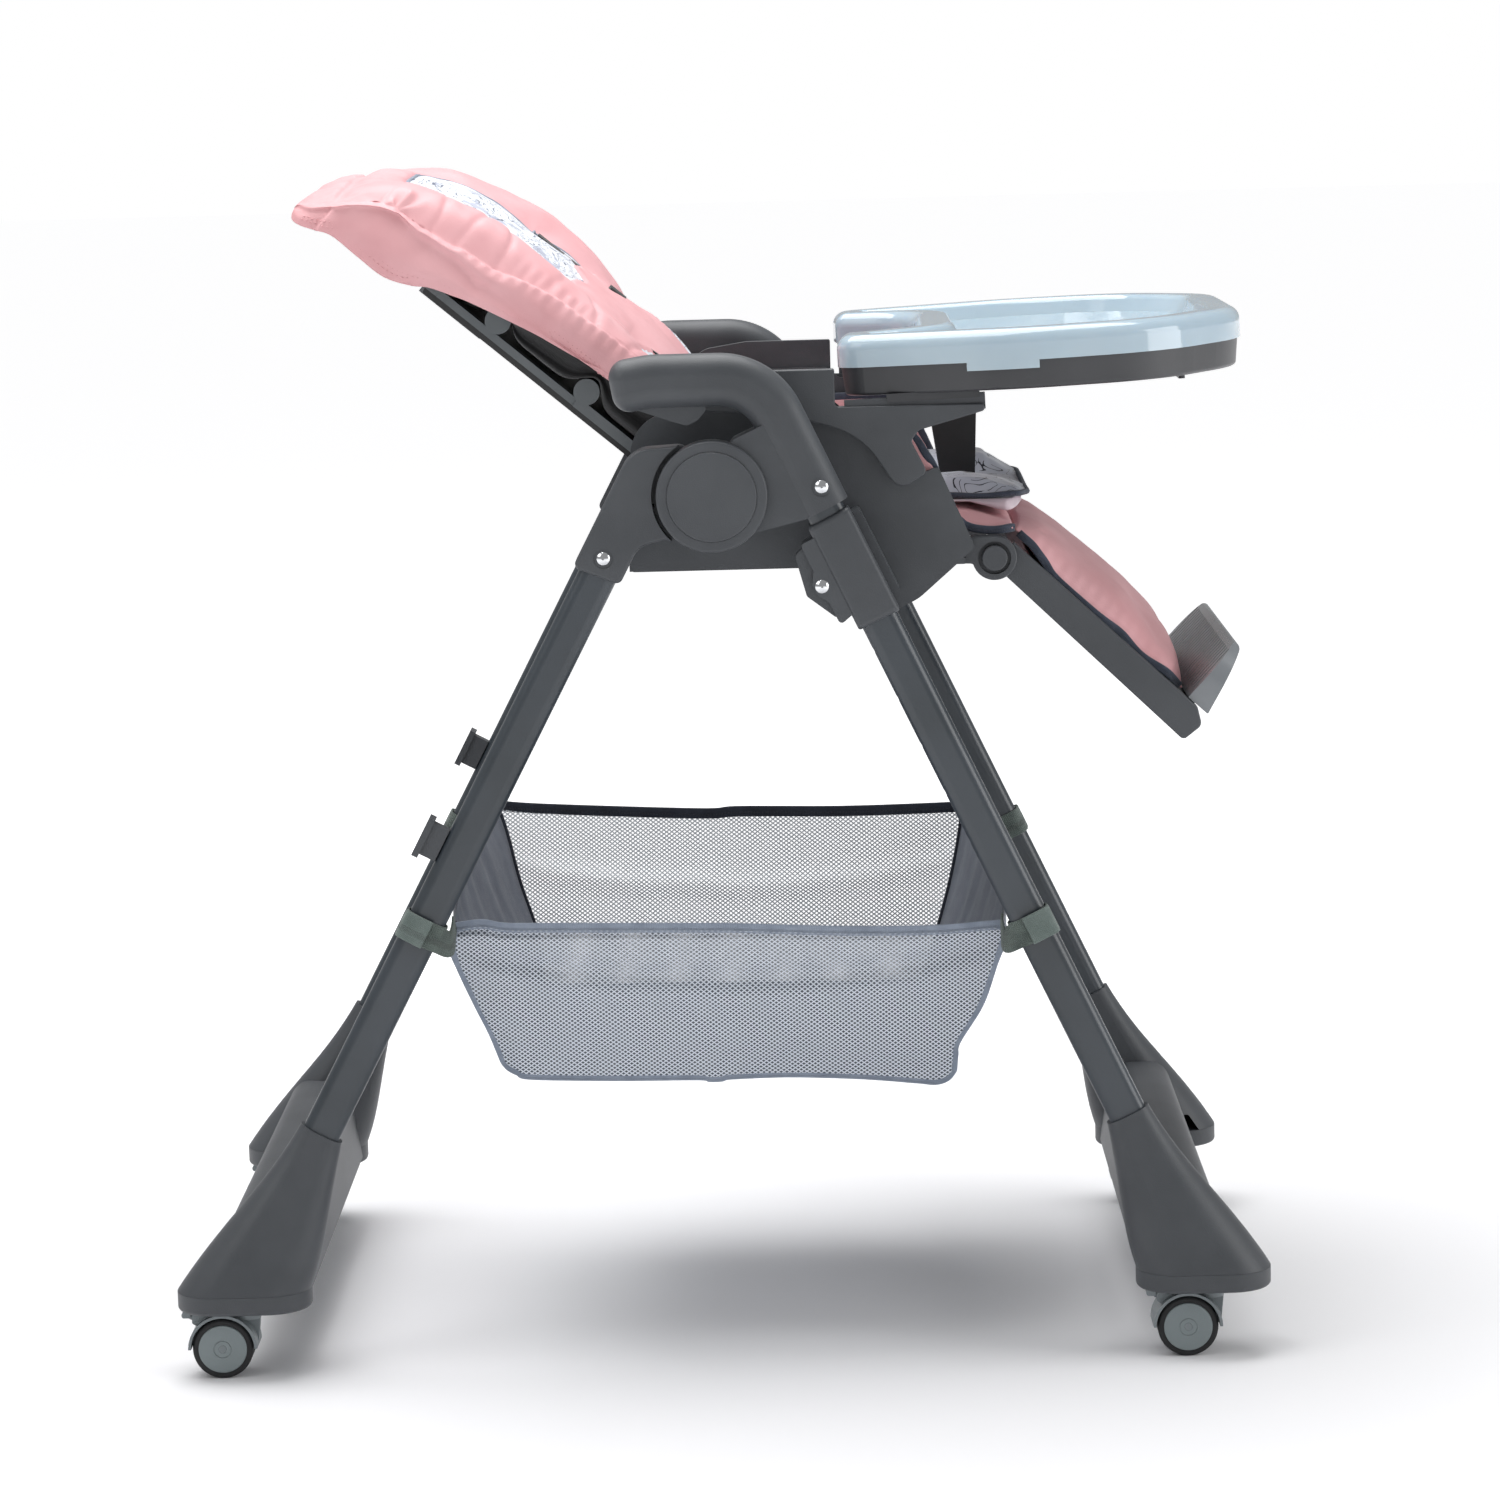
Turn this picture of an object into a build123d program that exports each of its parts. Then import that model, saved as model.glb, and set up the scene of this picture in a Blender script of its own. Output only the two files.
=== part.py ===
from build123d import *
import os
from math import cos, radians, sin, tan

os.makedirs("parts", exist_ok=True)

# Baby high chair. Millimetres, X forward, Y to the chair's left, Z up, floor at Z = 0.
# Every side piece is drawn on the right-hand side (negative Y) and mirrored to the left.

# ------------------------------------------------------------------ driving dimensions
hub_x = 6.0                 # fold hinge of the two leg frames
hub_z = 661.0
leg_gauge = 484.0           # between the middles of the right and left legs
caster_gauge = 500.0        # between the right and left caster stems
front_lean = 25.2           # degrees from upright
rear_lean = 27.95
front_offset = 70.0         # hinge centre to the axis of a front leg
rear_offset = 49.5          # hinge centre to the axis of a rear leg

tube_depth = 29.0           # leg tube seen from the side
tube_width = 19.0
tube_wall = 1.5
tube_corner = 8.0

snug = 0.2                  # clearance between fixed pieces
play = 0.5                  # clearance beside faces that slide
pin_play = 0.08             # radial clearance of a turning pin

ring_radius = 41.5          # hinge ring of the armrest
cap_radius = 33.7
disc_radius = 39.8          # hinge disc of the rear leg joint
pin_radius = 8.0
disc_inner = 222.0          # lateral places, measured from the middle plane
disc_outer = 240.0
ring_outer = 262.0
ring_gap = 3.5              # between the hinge ring and the rear leg joint around it

armrest_width = 40.0
armrest_depth = 39.0
armrest_middle = 238.0
armrest_z = 746.5           # middle of the armrest
armrest_front_bend = 48.0
armrest_back_x = -38.0
armrest_droop = (-29.0, -5.0)
armrest_end = -46.5         # lower end of the armrest, along the front leg

trigger_slot = (-53.0, 5.0)  # from back to front, in the underside of the armrest
trigger_half = 6.0

rivet_radius = 3.0
rivet_head = 5.2
rivet_dimple = 7.4
front_rivet = (6.0, -30.0)  # places on the legs, seen from the side
rear_rivet = (-2.0, -78.0)

pod_top_z = 184.0           # leg tube enters the foot moulding
pod_base_z = 67.0
pod_half_length = 51.0
pod_half_width = 35.0
pod_collar = 2.6
pod_wall = 3.2
tube_grip = 42.0            # length of tube inside the foot moulding
plate_z = 52.5              # underside of the foot plate
bar_top_z = 127.0           # cross bar between the two foot mouldings
bar_low_z = 58.0
bar_half_top = 25.0
bar_half_low = 33.0
bar_round = 21.0
bar_inset = 15.0

wheel_radius = 23.0
wheel_disc_radius = 18.4
wheel_width = 12.5
wheel_gap = 9.0             # between the two wheels of one caster
axle_radius = 3.0
caster_trail = 17.0
hood_wall = 2.1
hood_gap = 1.1
stem_radius = 5.0
stem_top_z = 66.0
front_stem_shift = 4.0
brake_pivot = (-36.5, 45.6)
brake_boss = 3.2
brake_pin = 2.0

seat_half = 188.5           # outside of the seat shell
seat_wall = 4.5
seat_floor_z = 599.0
seat_back_x = -59.0
seat_front_x = 196.0
arm_outer = 200.0           # outside of the tray arms
arm_top_z = 749.5
rail_top_z = 721.0
arm_step_x = 99.5
arm_seam_radius = 62.0
back_pivot_radius = 6.0
back_ear_radius = 12.0

slider_outer = 255.0
slider_inner = 229.5
slider_half = 17.0
slider_top = -53.0          # along the front leg, below the hinge line
slider_bottom = -139.0
lock_pivot = (-27.0, -97.0)
lock_pin_y = -118.0
lock_pin_radius = 2.6
lock_pin_room = 1.9         # round the pin, where it tilts as the lever is squeezed
height_travel = 200.0

back_pivot = (-42.0, 650.0)
back_recline = 40.2         # degrees above horizontal
back_shell_n = 19.0         # rear face of the back shell, in front of the pivot
back_shell_wall = 6.0
back_shell_length = 300.0
back_shell_half = 150.0
cushion_half = 172.0

leg_hinge = (218.0, 602.0)
leg_drop = 43.3             # degrees below horizontal
leg_rail_length = 206.0
leg_rail_inner = 150.0
leg_rail_outer = 165.0
leg_disc_radius = 17.0
leg_pin_radius = 5.0
leg_button_radius = 9.7
leg_button_room = 7.2       # depth of the pocket that the pressed button goes into
bracket_inner = 166.0
bracket_outer = 178.0
foot_height = 73.0
footrest_travel = 40.0

tray_tilt = 2.0
tray_back = (101.5, 749.0)
tray_length = 314.0
tray_half = 222.0
belly_depth = 66.0
tray_base_depth = 21.5
cover_height = 24.0
cover_roll = 11.0           # rounding of the cover's rim, outside
cover_rim = 33.0            # from the outside of the cover to the floor of its basin
basin_depth = 13.0
clip_span = (97.0, 151.0)   # clips of the cover, from the tray's back edge
clip_drop = 6.0
clip_wall = 2.2
tray_wall = 3.0
tray_rail_level = -23.5     # the arms' rails, below the seam of the tray
post_x = 91.0               # middle of the crotch post, from the tray's back edge
post_low_z = 650.0

basket_bottom_z = 208.0
basket_rim_z = 340.0
basket_tilt = 2.4
basket_wall = 2.0


# ------------------------------------------------------------------ frames and helpers
def leg_frame(sign, lean, offset):
    """Side plane of a pair of legs: x forward, y up the legs, z out to the right."""
    x_dir = Vector(cos(radians(lean)), 0, sign * sin(radians(lean)))
    origin = Vector(hub_x, 0, hub_z) + x_dir * (sign * offset)
    return Plane(origin=origin, x_dir=x_dir, z_dir=(0, -1, 0))


def turned_frame(origin, angle):
    """Side plane at a pivot, its x axis turned up from forward by an angle in degrees."""
    x_dir = (cos(radians(angle)), 0, sin(radians(angle)))
    return Plane(origin=(origin[0], 0, origin[1]), x_dir=x_dir, z_dir=(0, -1, 0))


side = Plane.XZ
front = leg_frame(1, front_lean, front_offset)
rear = leg_frame(-1, rear_lean, rear_offset)
back = turned_frame(back_pivot, -back_recline)
leg = turned_frame(leg_hinge, -leg_drop)
tray = turned_frame(tray_back, tray_tilt)
tray_axis = Axis((0, 0, 0), tray.y_dir)
hub = (hub_x, hub_z)


def outline(*corners):
    """Closed face through corners (x, y, radius), each rounded by its own radius."""
    stations = []
    for i, (x, y, radius) in enumerate(corners):
        here = Vector(x, y)
        before = (Vector(*corners[i - 1][:2]) - here).normalized()
        after = (Vector(*corners[(i + 1) % len(corners)][:2]) - here).normalized()
        half = radians(before.get_angle(after) / 2)
        reach = radius / tan(half)
        middle = here + (before + after).normalized() * (radius / sin(half) - radius)
        stations.append((here + before * reach, middle, here + after * reach, radius))
    edges = []
    for i, (start, middle, end, radius) in enumerate(stations):
        if radius:
            edges.append(ThreePointArc(start, middle, end))
        following = stations[(i + 1) % len(stations)][0]
        if (following - end).length > 1e-4:
            edges.append(Line(end, following))
    return make_face(edges)


def slab(frame, face, inner, outer):
    """A face of a side plane made solid between two distances from the middle plane."""
    return extrude(frame.offset(inner) * face, outer - inner)


def disc(frame, centre, radius, inner, outer):
    return slab(frame, Pos(*centre) * Circle(radius), inner, outer)


def across(frame, face, half):
    """A face of a side plane made solid right across the chair."""
    return slab(frame, face, -half, half)


def left(part):
    return mirror(part, Plane.XZ)


def both(part):
    return Compound(children=[*part.solids(), *left(part).solids()])


def save(name, part):
    solids = part.solids()
    shape = solids[0] if len(solids) == 1 else Compound(children=list(solids))
    export_step(shape, f"parts/{name}.step")


def save_pair(name, part):
    save(f"{name}_right", part)
    save(f"{name}_left", left(part))


def leg_y(frame, z):
    """Distance along a leg at which its axis reaches height z."""
    return (z - frame.origin.Z) / frame.y_dir.Z


def leg_x(frame, z):
    return frame.origin.X + leg_y(frame, z) * frame.y_dir.X


def leg_cut(frame, y):
    """Plane square to a leg's axis, facing down the leg."""
    origin = frame.from_local_coords(Vector(0, y, leg_gauge / 2))
    return Plane(origin=origin, x_dir=frame.x_dir, z_dir=frame.y_dir * -1)


def leg_bar(frame, top, bottom, grow):
    """Solid of the leg tube's outside between two places, grown by a clearance."""
    face = RectangleRounded(tube_depth + 2 * grow, tube_width + 2 * grow, tube_corner + grow)
    return extrude(leg_cut(frame, top) * face, top - bottom)


def rivet(frame, centre, inner, outer):
    """Domed rivet through a piece that lies between two lateral places."""
    shank = disc(frame, centre, rivet_radius, inner, outer)
    dome = Pos(0, 0, outer - rivet_head) * Sphere(rivet_head + 2)
    dome = dome & Pos(0, 0, outer + 5) * Box(40, 40, 10)
    dome = dome & Pos(0, 0, outer) * Cylinder(rivet_head, 20)
    dome = frame.location * Pos(*centre) * dome
    foot = disc(frame, centre, rivet_head, inner - 1.6, inner)
    return shank + dome + foot


# ------------------------------------------------------------------ leg frames
def leg_tube(frame, top, foot_bottom):
    bottom = leg_y(frame, pod_top_z) - foot_bottom
    hollow = -tube_wall
    return leg_bar(frame, top, bottom, 0) - leg_bar(frame, top + 1, bottom - 1, hollow)


def lock_slot():
    """Slot in the back of a front leg, with a round lock hole at every height step."""
    top, low = lock_pin_y, lock_pin_y - height_travel
    width = 2 * (lock_pin_radius + 1)
    depth = tube_wall + 3
    x = -tube_depth / 2
    slot = Pos(x, (top + low) / 2, leg_gauge / 2) * Box(depth, top - low + width, width)
    cut = slot
    steps = 5
    for i in range(steps + 1):
        y = top - height_travel * i / steps
        hole = Pos(x, y, leg_gauge / 2) * Rot(0, 90, 0) * Cylinder(lock_pin_radius + 2, depth)
        cut += hole
    return front.location * cut


def pod_section(frame, z, inset):
    """Level section of a foot moulding, growing from the leg's collar to the plate."""
    drop = (pod_top_z - z) / (pod_top_z - pod_base_z)
    ease = (drop + drop * drop * (3 - 2 * drop)) / 2
    collar_x = (tube_depth / 2 + pod_collar) / frame.y_dir.Z
    collar_y = tube_width / 2 + pod_collar
    half_x = collar_x + (pod_half_length - collar_x) * ease - inset
    half_y = collar_y + (pod_half_width - collar_y) * ease - inset
    y = (leg_gauge + (caster_gauge - leg_gauge) * ease) / 2
    return Pos(leg_x(frame, z), -y, z) * RectangleRounded(2 * half_x, 2 * half_y, 0.93 * half_y)


def pod_outside(frame):
    span = pod_top_z - pod_base_z
    levels = [pod_base_z + span * share for share in (0, 0.24, 0.5, 0.75)]
    collar = RectangleRounded(tube_depth + 2 * pod_collar, tube_width + 2 * pod_collar,
                              tube_corner + pod_collar)
    top = leg_cut(frame, leg_y(frame, pod_top_z))
    top = Plane(origin=top.origin, x_dir=top.x_dir, z_dir=top.z_dir * -1)
    return loft([pod_section(frame, z, 0) for z in levels] + [top * collar])


def pod_inside(frame):
    span = pod_top_z - pod_base_z
    levels = [pod_base_z + span * share for share in (0, 0.24, 0.5)]
    cavity = loft([pod_section(frame, z, pod_wall) for z in levels])
    return cavity


def bar_face(middle, inset, low):
    return outline((middle - bar_half_low + inset, low, 0),
                   (middle - bar_half_top + inset, bar_top_z - inset, bar_round - inset),
                   (middle + bar_half_top - inset, bar_top_z - inset, bar_round - inset),
                   (middle + bar_half_low - inset, low, 0))


def plate_face(frame, grow):
    section = pod_section(frame, pod_base_z, -grow)
    return Pos(0, 0, -pod_base_z) * section


def foot_bar(frame, outward):
    """Foot moulding of one leg frame: two flared feet joined by a hollow cross bar."""
    middle = leg_x(frame, pod_base_z) - outward * bar_inset
    pod = pod_outside(frame)
    reach = caster_gauge / 2 - pod_half_width / 2
    bar = across(side, bar_face(middle, 0, bar_low_z), reach)
    bar -= both(extrude(plate_face(frame, play), pod_base_z))
    feet = bar + pod + left(pod)
    inside = pod_inside(frame)
    top = leg_y(frame, pod_top_z)
    socket = leg_bar(frame, top + 20, top - tube_grip - snug, snug)
    channel_half = caster_gauge / 2 - pod_half_width - pod_wall
    channel = across(side, bar_face(middle, pod_wall, bar_low_z - 5), channel_half)
    edge = middle + outward * bar_half_low
    notch = outline((edge - outward * 2, pod_base_z - 5, 0),
                    (edge + outward * 5, pod_base_z + 19, 4),
                    (edge + outward * 21, pod_base_z - 5, 0))
    wall_place = caster_gauge / 2 - pod_half_width
    notch = slab(side, notch, wall_place - 12, wall_place + 17)
    for cut in (inside, socket, notch):
        feet -= cut
        feet -= left(cut)
    return feet - channel


def foot_plates(frame, stem_x):
    """Flat closing plates under the two feet, bored for the caster stems."""
    gap = pod_base_z - plate_z - snug
    plate = Pos(0, 0, plate_z) * extrude(plate_face(frame, 0), gap)
    plate = fillet(plate.edges().group_by(Axis.Z)[0], 3)
    bore = Pos(stem_x, -caster_gauge / 2, plate_z) * Cylinder(stem_radius + pin_play, 60)
    return both(plate - bore)


# ------------------------------------------------------------------ armrest and fold hinge
def armrest():
    end = front.from_local_coords(Vector(0, armrest_end, 0))
    bend_y = leg_y(front, armrest_z)
    bend = front.from_local_coords(Vector(0, bend_y, 0))
    points = [(end.X, end.Z), (bend.X, armrest_z), (armrest_back_x, armrest_z),
              (armrest_back_x + armrest_droop[0], armrest_z + armrest_droop[1])]
    path = side.offset(armrest_middle) * FilletPolyline(*points, radius=(armrest_front_bend, 60))
    start = Plane(origin=path @ 0, x_dir=(0, 1, 0), z_dir=path % 0)
    grip = sweep(start * RectangleRounded(armrest_width, armrest_depth, 15), path)
    grip = fillet(grip.faces().sort_by(Axis.X)[0].edges(), 13)

    ring = disc(side, hub, ring_radius, disc_outer + 0.4, ring_outer)
    ring = fillet(ring.faces().sort_by(Axis.Y)[0].edges(), 2)
    low = front.from_local_coords(Vector(-armrest_depth / 2 + 4, armrest_end, 0))
    high = front.from_local_coords(Vector(0, 30, 0))
    web = outline((hub_x + 27, hub_z - 29, 0), (low.X, low.Z, 2), (end.X, end.Z, 0),
                  (high.X, high.Z, 0), (hub_x + 17, hub_z + 42, 6), (hub_x, hub_z + 20, 0))
    web = slab(side, web, disc_inner + 2, ring_outer - 6)
    body = grip + web + ring

    body -= disc(side, hub, disc_radius + 1, disc_inner - 20, disc_outer + 0.4)
    body -= disc(side, hub, cap_radius, ring_outer - 5, ring_outer + 20)
    body -= disc(side, hub, pin_radius + pin_play, disc_inner - 20, ring_outer)
    body -= leg_bar(front, 4, armrest_end - 40, snug)
    slot = (trigger_slot[0] + trigger_slot[1]) / 2
    slot_box = Box(trigger_slot[1] - trigger_slot[0], 2 * (trigger_half + play), 40)
    body -= Pos(slot, -armrest_middle, armrest_z - 20) * slot_box
    return rivet_hole(body, front, front_rivet, armrest_middle + armrest_width / 2)


def rivet_hole(body, frame, centre, face):
    """Hole for a rivet's shank, with a shallow round seat at the outer face."""
    body -= disc(frame, centre, rivet_radius + snug, 150, 300)
    body -= disc(frame, centre, rivet_dimple, face - 0.8, face + 10)
    return body


def fold_trigger():
    """Squeeze piece under the armrest that frees the fold hinge."""
    low = armrest_z - armrest_depth / 2
    fin = outline((-51, low - 0.5, 0), (-51, low + 10, 2), (3, low + 10, 2), (3, low - 3, 2),
                  (-3, low - 10, 3), (-11, low - 14, 5), (-24, low - 10, 20))
    return slab(side, fin, armrest_middle - trigger_half, armrest_middle + trigger_half)


def hub_cap():
    cap = disc(side, hub, cap_radius - snug, ring_outer - 2.6, ring_outer + 1.4)
    return fillet(cap.faces().sort_by(Axis.Y)[0].edges(), 1)


def hub_pin():
    pin = disc(side, hub, pin_radius, disc_inner, ring_outer - 5)
    return pin + disc(side, hub, 14, ring_outer - 5, ring_outer - 2.6)


def rear_leg_socket():
    half = tube_depth / 2 + 5.2
    face = outline((-half, -94, 5), (-half, 4, 24), (12, 23, 10), (rear_offset, 20, 0),
                   (rear_offset, -42, 0), (34, -44, 8), (half - 2, -58, 18), (half - 2, -90, 5))
    body = slab(rear, face, leg_gauge / 2 - 13, leg_gauge / 2 + 12)
    body = fillet(body.faces().sort_by(Axis.Y)[0].edges(), 2.5)
    body -= disc(side, hub, ring_radius + ring_gap, disc_outer, 300)
    body -= disc(side, hub, disc_radius, 200, disc_outer + 1)
    body += disc(side, hub, disc_radius, disc_inner, disc_outer)
    body -= disc(side, hub, pin_radius + pin_play, 200, 300)
    body -= leg_bar(rear, -26, -140, snug)
    return rivet_hole(body, rear, rear_rivet, leg_gauge / 2 + 12)


def tray_hook():
    """Peg behind a rear leg, with a neck and a wider head, that holds the spare tray."""
    neck_x = -tube_depth / 2
    neck = Pos(neck_x - 7, -327, leg_gauge / 2) * Box(14, 26, 12)
    head = Pos(neck_x - 15.5, -327, leg_gauge / 2) * Box(5, 33, 17)
    return rear.location * (neck + fillet(head.edges().filter_by(Axis.X), 3))


# ------------------------------------------------------------------ casters
def caster_place(x, part):
    return Pos(x, -caster_gauge / 2, 0) * part


def caster_housing():
    """Hood over both wheels, with its middle web, axle, head and stem."""
    wheel = (-caster_trail, wheel_radius)
    half = wheel_gap / 2 + wheel_width
    inner = wheel_radius + hood_gap
    outer = inner + hood_wall
    ring = Pos(*wheel) * (Circle(outer) - Circle(inner))
    ring -= Pos(wheel[0], wheel[1] - outer / 2) * Rectangle(3 * outer, outer)
    hood = across(side, ring, half + 0.5)
    web_face = outline((wheel[0] - inner, wheel[1], 0), (wheel[0] - inner, 44, 22), (11, 51, 0),
                       (11, 44, 0), (9, wheel[1], 0), (wheel[0], 15, 6))
    web = across(side, web_face, wheel_gap / 2 - 1)
    head = Pos(0, 0, 47.7) * Cylinder(11.5, 8) - across(side, Pos(*wheel) * Circle(inner), half)
    axle = across(side, Pos(*wheel) * Circle(axle_radius), half)
    stem = Pos(0, 0, (stem_top_z + 48) / 2) * Cylinder(stem_radius, stem_top_z - 48)
    ears = slab(side, brake_ear(), 8.3, 11) - disc(side, wheel, inner, 0, 30)
    body = hood + web + head + axle + stem + ears + left(ears)
    return body - across(side, Pos(*brake_pivot) * Circle(brake_pin + pin_play), 30)


def brake_ear():
    return outline((-40.2, 42, 2), (-40.2, 49.4, 3), (-32.8, 49.4, 2), (-26, 46, 0), (-33, 38, 0))


def caster_wheels():
    """Two wheels of one caster: a disc with a rubber tyre each."""
    centre = (-caster_trail, wheel_radius)
    inner = wheel_gap / 2
    outer = inner + wheel_width
    tyre = disc(side, centre, wheel_radius, inner, outer - 1)
    tyre = fillet(tyre.edges(), 2.4)
    tyre -= disc(side, centre, wheel_disc_radius, 0, 40)
    core = disc(side, centre, wheel_disc_radius, inner, outer)
    core = fillet(core.faces().sort_by(Axis.Y)[0].edges(), 0.8)
    groove = Pos(*centre) * (Circle(6.8) - Circle(6.2))
    core -= slab(side, groove, outer - 0.5, outer + 1)
    core -= disc(side, centre, axle_radius + pin_play, 0, 40)
    return Compound(children=[*both(tyre).solids(), *both(core).solids()])


def caster_brake():
    """Foot tab that swings down on a pin behind the hood."""
    pad = outline((-48, 46.2, 2), (-48, 50.8, 2), (-41, 50.8, 1), (-41, 46, 1))
    x, z = brake_pivot
    arm = outline((-42, z - 1, 0), (-42, z + 4.6, 0), (x, z + 2.6, 0), (x, z - 2.6, 0))
    arm = across(side, arm, 7.9) + across(side, Pos(x, z) * Circle(brake_boss), 7.9)
    return arm + across(side, pad, 11) + across(side, Pos(x, z) * Circle(brake_pin), 11)


# ------------------------------------------------------------------ seat
def seat_panel():
    """Side wall of the seat shell, from the rear shoulder to the leg rest bracket."""
    return outline((seat_back_x, seat_floor_z, 4), (seat_back_x + 4, 708, 32), (-20, 724, 20),
                   (60, 727, 0), (96, 727, 6), (106, rail_top_z - 3, 8), (124, rail_top_z - 3, 8),
                   (164, 668, 8), (176, 674, 4), (203, 612, 5),
                   (190, 600, 8), (160, 574, 30), (132, 560, 6), (112, 599, 0))


def seat_shell():
    inner = seat_half - seat_wall
    wall = slab(side, seat_panel(), inner, seat_half)
    floor_length = seat_front_x - seat_back_x
    floor_middle = (seat_front_x + seat_back_x) / 2
    floor = Pos(floor_middle, 0, seat_floor_z + 2.25) * Box(floor_length, 2 * inner + 1, 4.5)
    rear_wall = Pos(seat_back_x + 2.5, 0, seat_floor_z + 20) * Box(5, 2 * inner + 1, 40)
    lip = Pos(seat_front_x - 2, 0, seat_floor_z + 6) * Box(4, 2 * bracket_inner, 12)
    arm = outline((150, seat_floor_z, 0), (150, 617, 0), (leg_hinge[0], leg_hinge[1] + 17, 0),
                  (leg_hinge[0], leg_hinge[1] - 12, 0), (200, seat_floor_z - 1, 4))
    bracket = slab(side, arm, bracket_inner, bracket_outer)
    bracket += disc(side, leg_hinge, leg_disc_radius, bracket_inner, bracket_outer)
    bracket = fillet(bracket.faces().sort_by(Axis.Y)[0].edges(), 1.2)
    bracket -= disc(side, leg_hinge, leg_button_radius + 2.8, bracket_outer - 4, 190)
    bracket -= disc(side, leg_hinge, leg_button_radius + snug, bracket_outer - leg_button_room, 190)
    bracket -= disc(side, leg_hinge, leg_pin_radius + pin_play, 150, 190)
    tie = Pos(165, -(inner + bracket_outer) / 2 - 1, seat_floor_z + 2.25) * Box(60, 12, 4.5)
    half_body = wall + bracket + tie
    half_body -= disc(side, back_pivot, back_pivot_radius + pin_play, 150, 230)
    return floor + rear_wall + lip + half_body + left(half_body)


def tray_arm():
    """Arm beside the seat that carries one rail of the tray."""
    face = outline((-28, 722, 6), (-6, 744, 20), (30, arm_top_z, 10), (arm_step_x, arm_top_z, 1.5),
                   (arm_step_x, rail_top_z, 3), (211, rail_top_z, 2), (213, 716, 3),
                   (162, 702, 6), (156, 694, 5), (168, 670, 5), (146, 657, 10),
                   (118, 700, arm_seam_radius), (62, 716, 8))
    arm = slab(side, face, seat_half, arm_outer)
    arm = fillet(arm.faces().sort_by(Axis.Y)[0].edges(), 1.2)
    rail = outline((4, -30, 0), (4, tray_rail_level, 0), (110, tray_rail_level, 0), (110, -36, 0))
    return arm + slab(tray, rail, seat_half + 3, arm_outer - 3)


def slider():
    """Sleeve that rides on a front leg and carries the seat."""
    face = outline((-slider_half, slider_bottom, 2), (-slider_half, slider_top, 3),
                   (slider_half, slider_top + 1, 3), (slider_half, slider_bottom, 2))
    sleeve = slab(front, face, slider_inner, slider_outer)
    sleeve = fillet(sleeve.faces().sort_by(Axis.Y)[0].edges(), 4)
    link = outline((-8, slider_bottom + 12, 3), (-8, slider_top - 6, 3),
                   (slider_half + 6, slider_top - 6, 3), (slider_half + 6, slider_bottom + 4, 6))
    sleeve += slab(front, link, arm_outer + snug, slider_inner + 1)
    foot = outline((-8, slider_bottom + 12, 3), (-8, slider_top - 26, 3),
                   (slider_half + 6, slider_top - 26, 3), (slider_half + 6, slider_bottom + 4, 6))
    sleeve += slab(front, foot, seat_half, arm_outer + 1)
    x, y = lock_pivot
    cheek = outline((-16, slider_top - 9, 0), (x - 0.5, slider_top - 9, 3), (x - 0.5, y + 13, 0),
                    (x - 6, y + 4, 5), (x - 6, y - 4, 5), (x - 0.5, y - 13, 0),
                    (x - 0.5, slider_bottom + 10, 3), (-16, slider_bottom + 13, 0))
    for inner, outer in ((leg_gauge / 2 - 12, leg_gauge / 2 - 8.4),
                         (leg_gauge / 2 + 8.4, leg_gauge / 2 + 12)):
        sleeve += slab(front, cheek, inner, outer)
    sleeve -= leg_bar(front, slider_top + 20, slider_bottom - 20, play)
    sleeve -= disc(front, lock_pivot, rivet_radius + pin_play, 200, 300)
    hole = Cylinder(lock_pin_radius + lock_pin_room, 10)
    sleeve -= front.location * Pos(-slider_half, lock_pin_y, leg_gauge / 2) * Rot(0, 90, 0) * hole
    return sleeve


def height_lock():
    """Squeeze lever behind a slider, with the pin that drops into the leg's holes."""
    x, y = lock_pivot
    face = outline((x + 3, y + 33, 2), (x - 8, y + 29, 5), (x - 13.5, y - 2, 4),
                   (x - 1, y - 26, 3), (x + 3, y - 26, 2))
    lever = slab(front, face, leg_gauge / 2 - 7.9, leg_gauge / 2 + 7.9)
    pin_length = x + 3 + tube_depth / 2 - 0.9
    reach = Pos(x + 3 - pin_length / 2, lock_pin_y, leg_gauge / 2)
    pin = reach * Rot(0, 90, 0) * Cylinder(lock_pin_radius, abs(pin_length) + 2)
    lever += front.location * pin
    return lever - disc(front, lock_pivot, rivet_radius + pin_play, 200, 300)


def seat_cushion():
    face = outline((-32, 604.5, 4), (-32, 638, 12), (120, 641, 30), (205, 641, 16), (226, 622, 8),
                   (224, 611.8, 3), (190.5, 611.8, 0), (189, 604.5, 3))
    body = across(side, face, bracket_inner - 4)
    for place in (1, -1):
        body -= Pos(210, place * (leg_rail_inner + 20), 620) * Box(46, 44, 60)
    return body


def seat_insert():
    """Liner on the seat with a raised bolster along each side."""
    low = 641.7
    base = extrude(Pos(172, 0, low) * RectangleRounded(150, 280, 30), 3.6)
    crest = extrude(Pos(172, 118, low) * RectangleRounded(150, 44, 20), 19)
    crest = fillet(crest.edges().group_by(Axis.Z)[-1], 9)
    return base + crest + left(crest)


def lap_harness():
    """Two lap straps that meet in a buckle in the middle of the seat."""
    strap = Pos(30, -83, 643) * Box(25, 130, 2)
    buckle = Pos(30, 0, 650) * Box(46, 48, 12)
    buckle = fillet(buckle.edges(), 3)
    return Compound(children=[*both(strap).solids(), *buckle.solids()])


# ------------------------------------------------------------------ backrest
def back_face(*corners):
    """Outline given as (distance up the back, distance in front of the pivot, radius)."""
    return outline(*[(-u, n, radius) for u, n, radius in corners])


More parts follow.
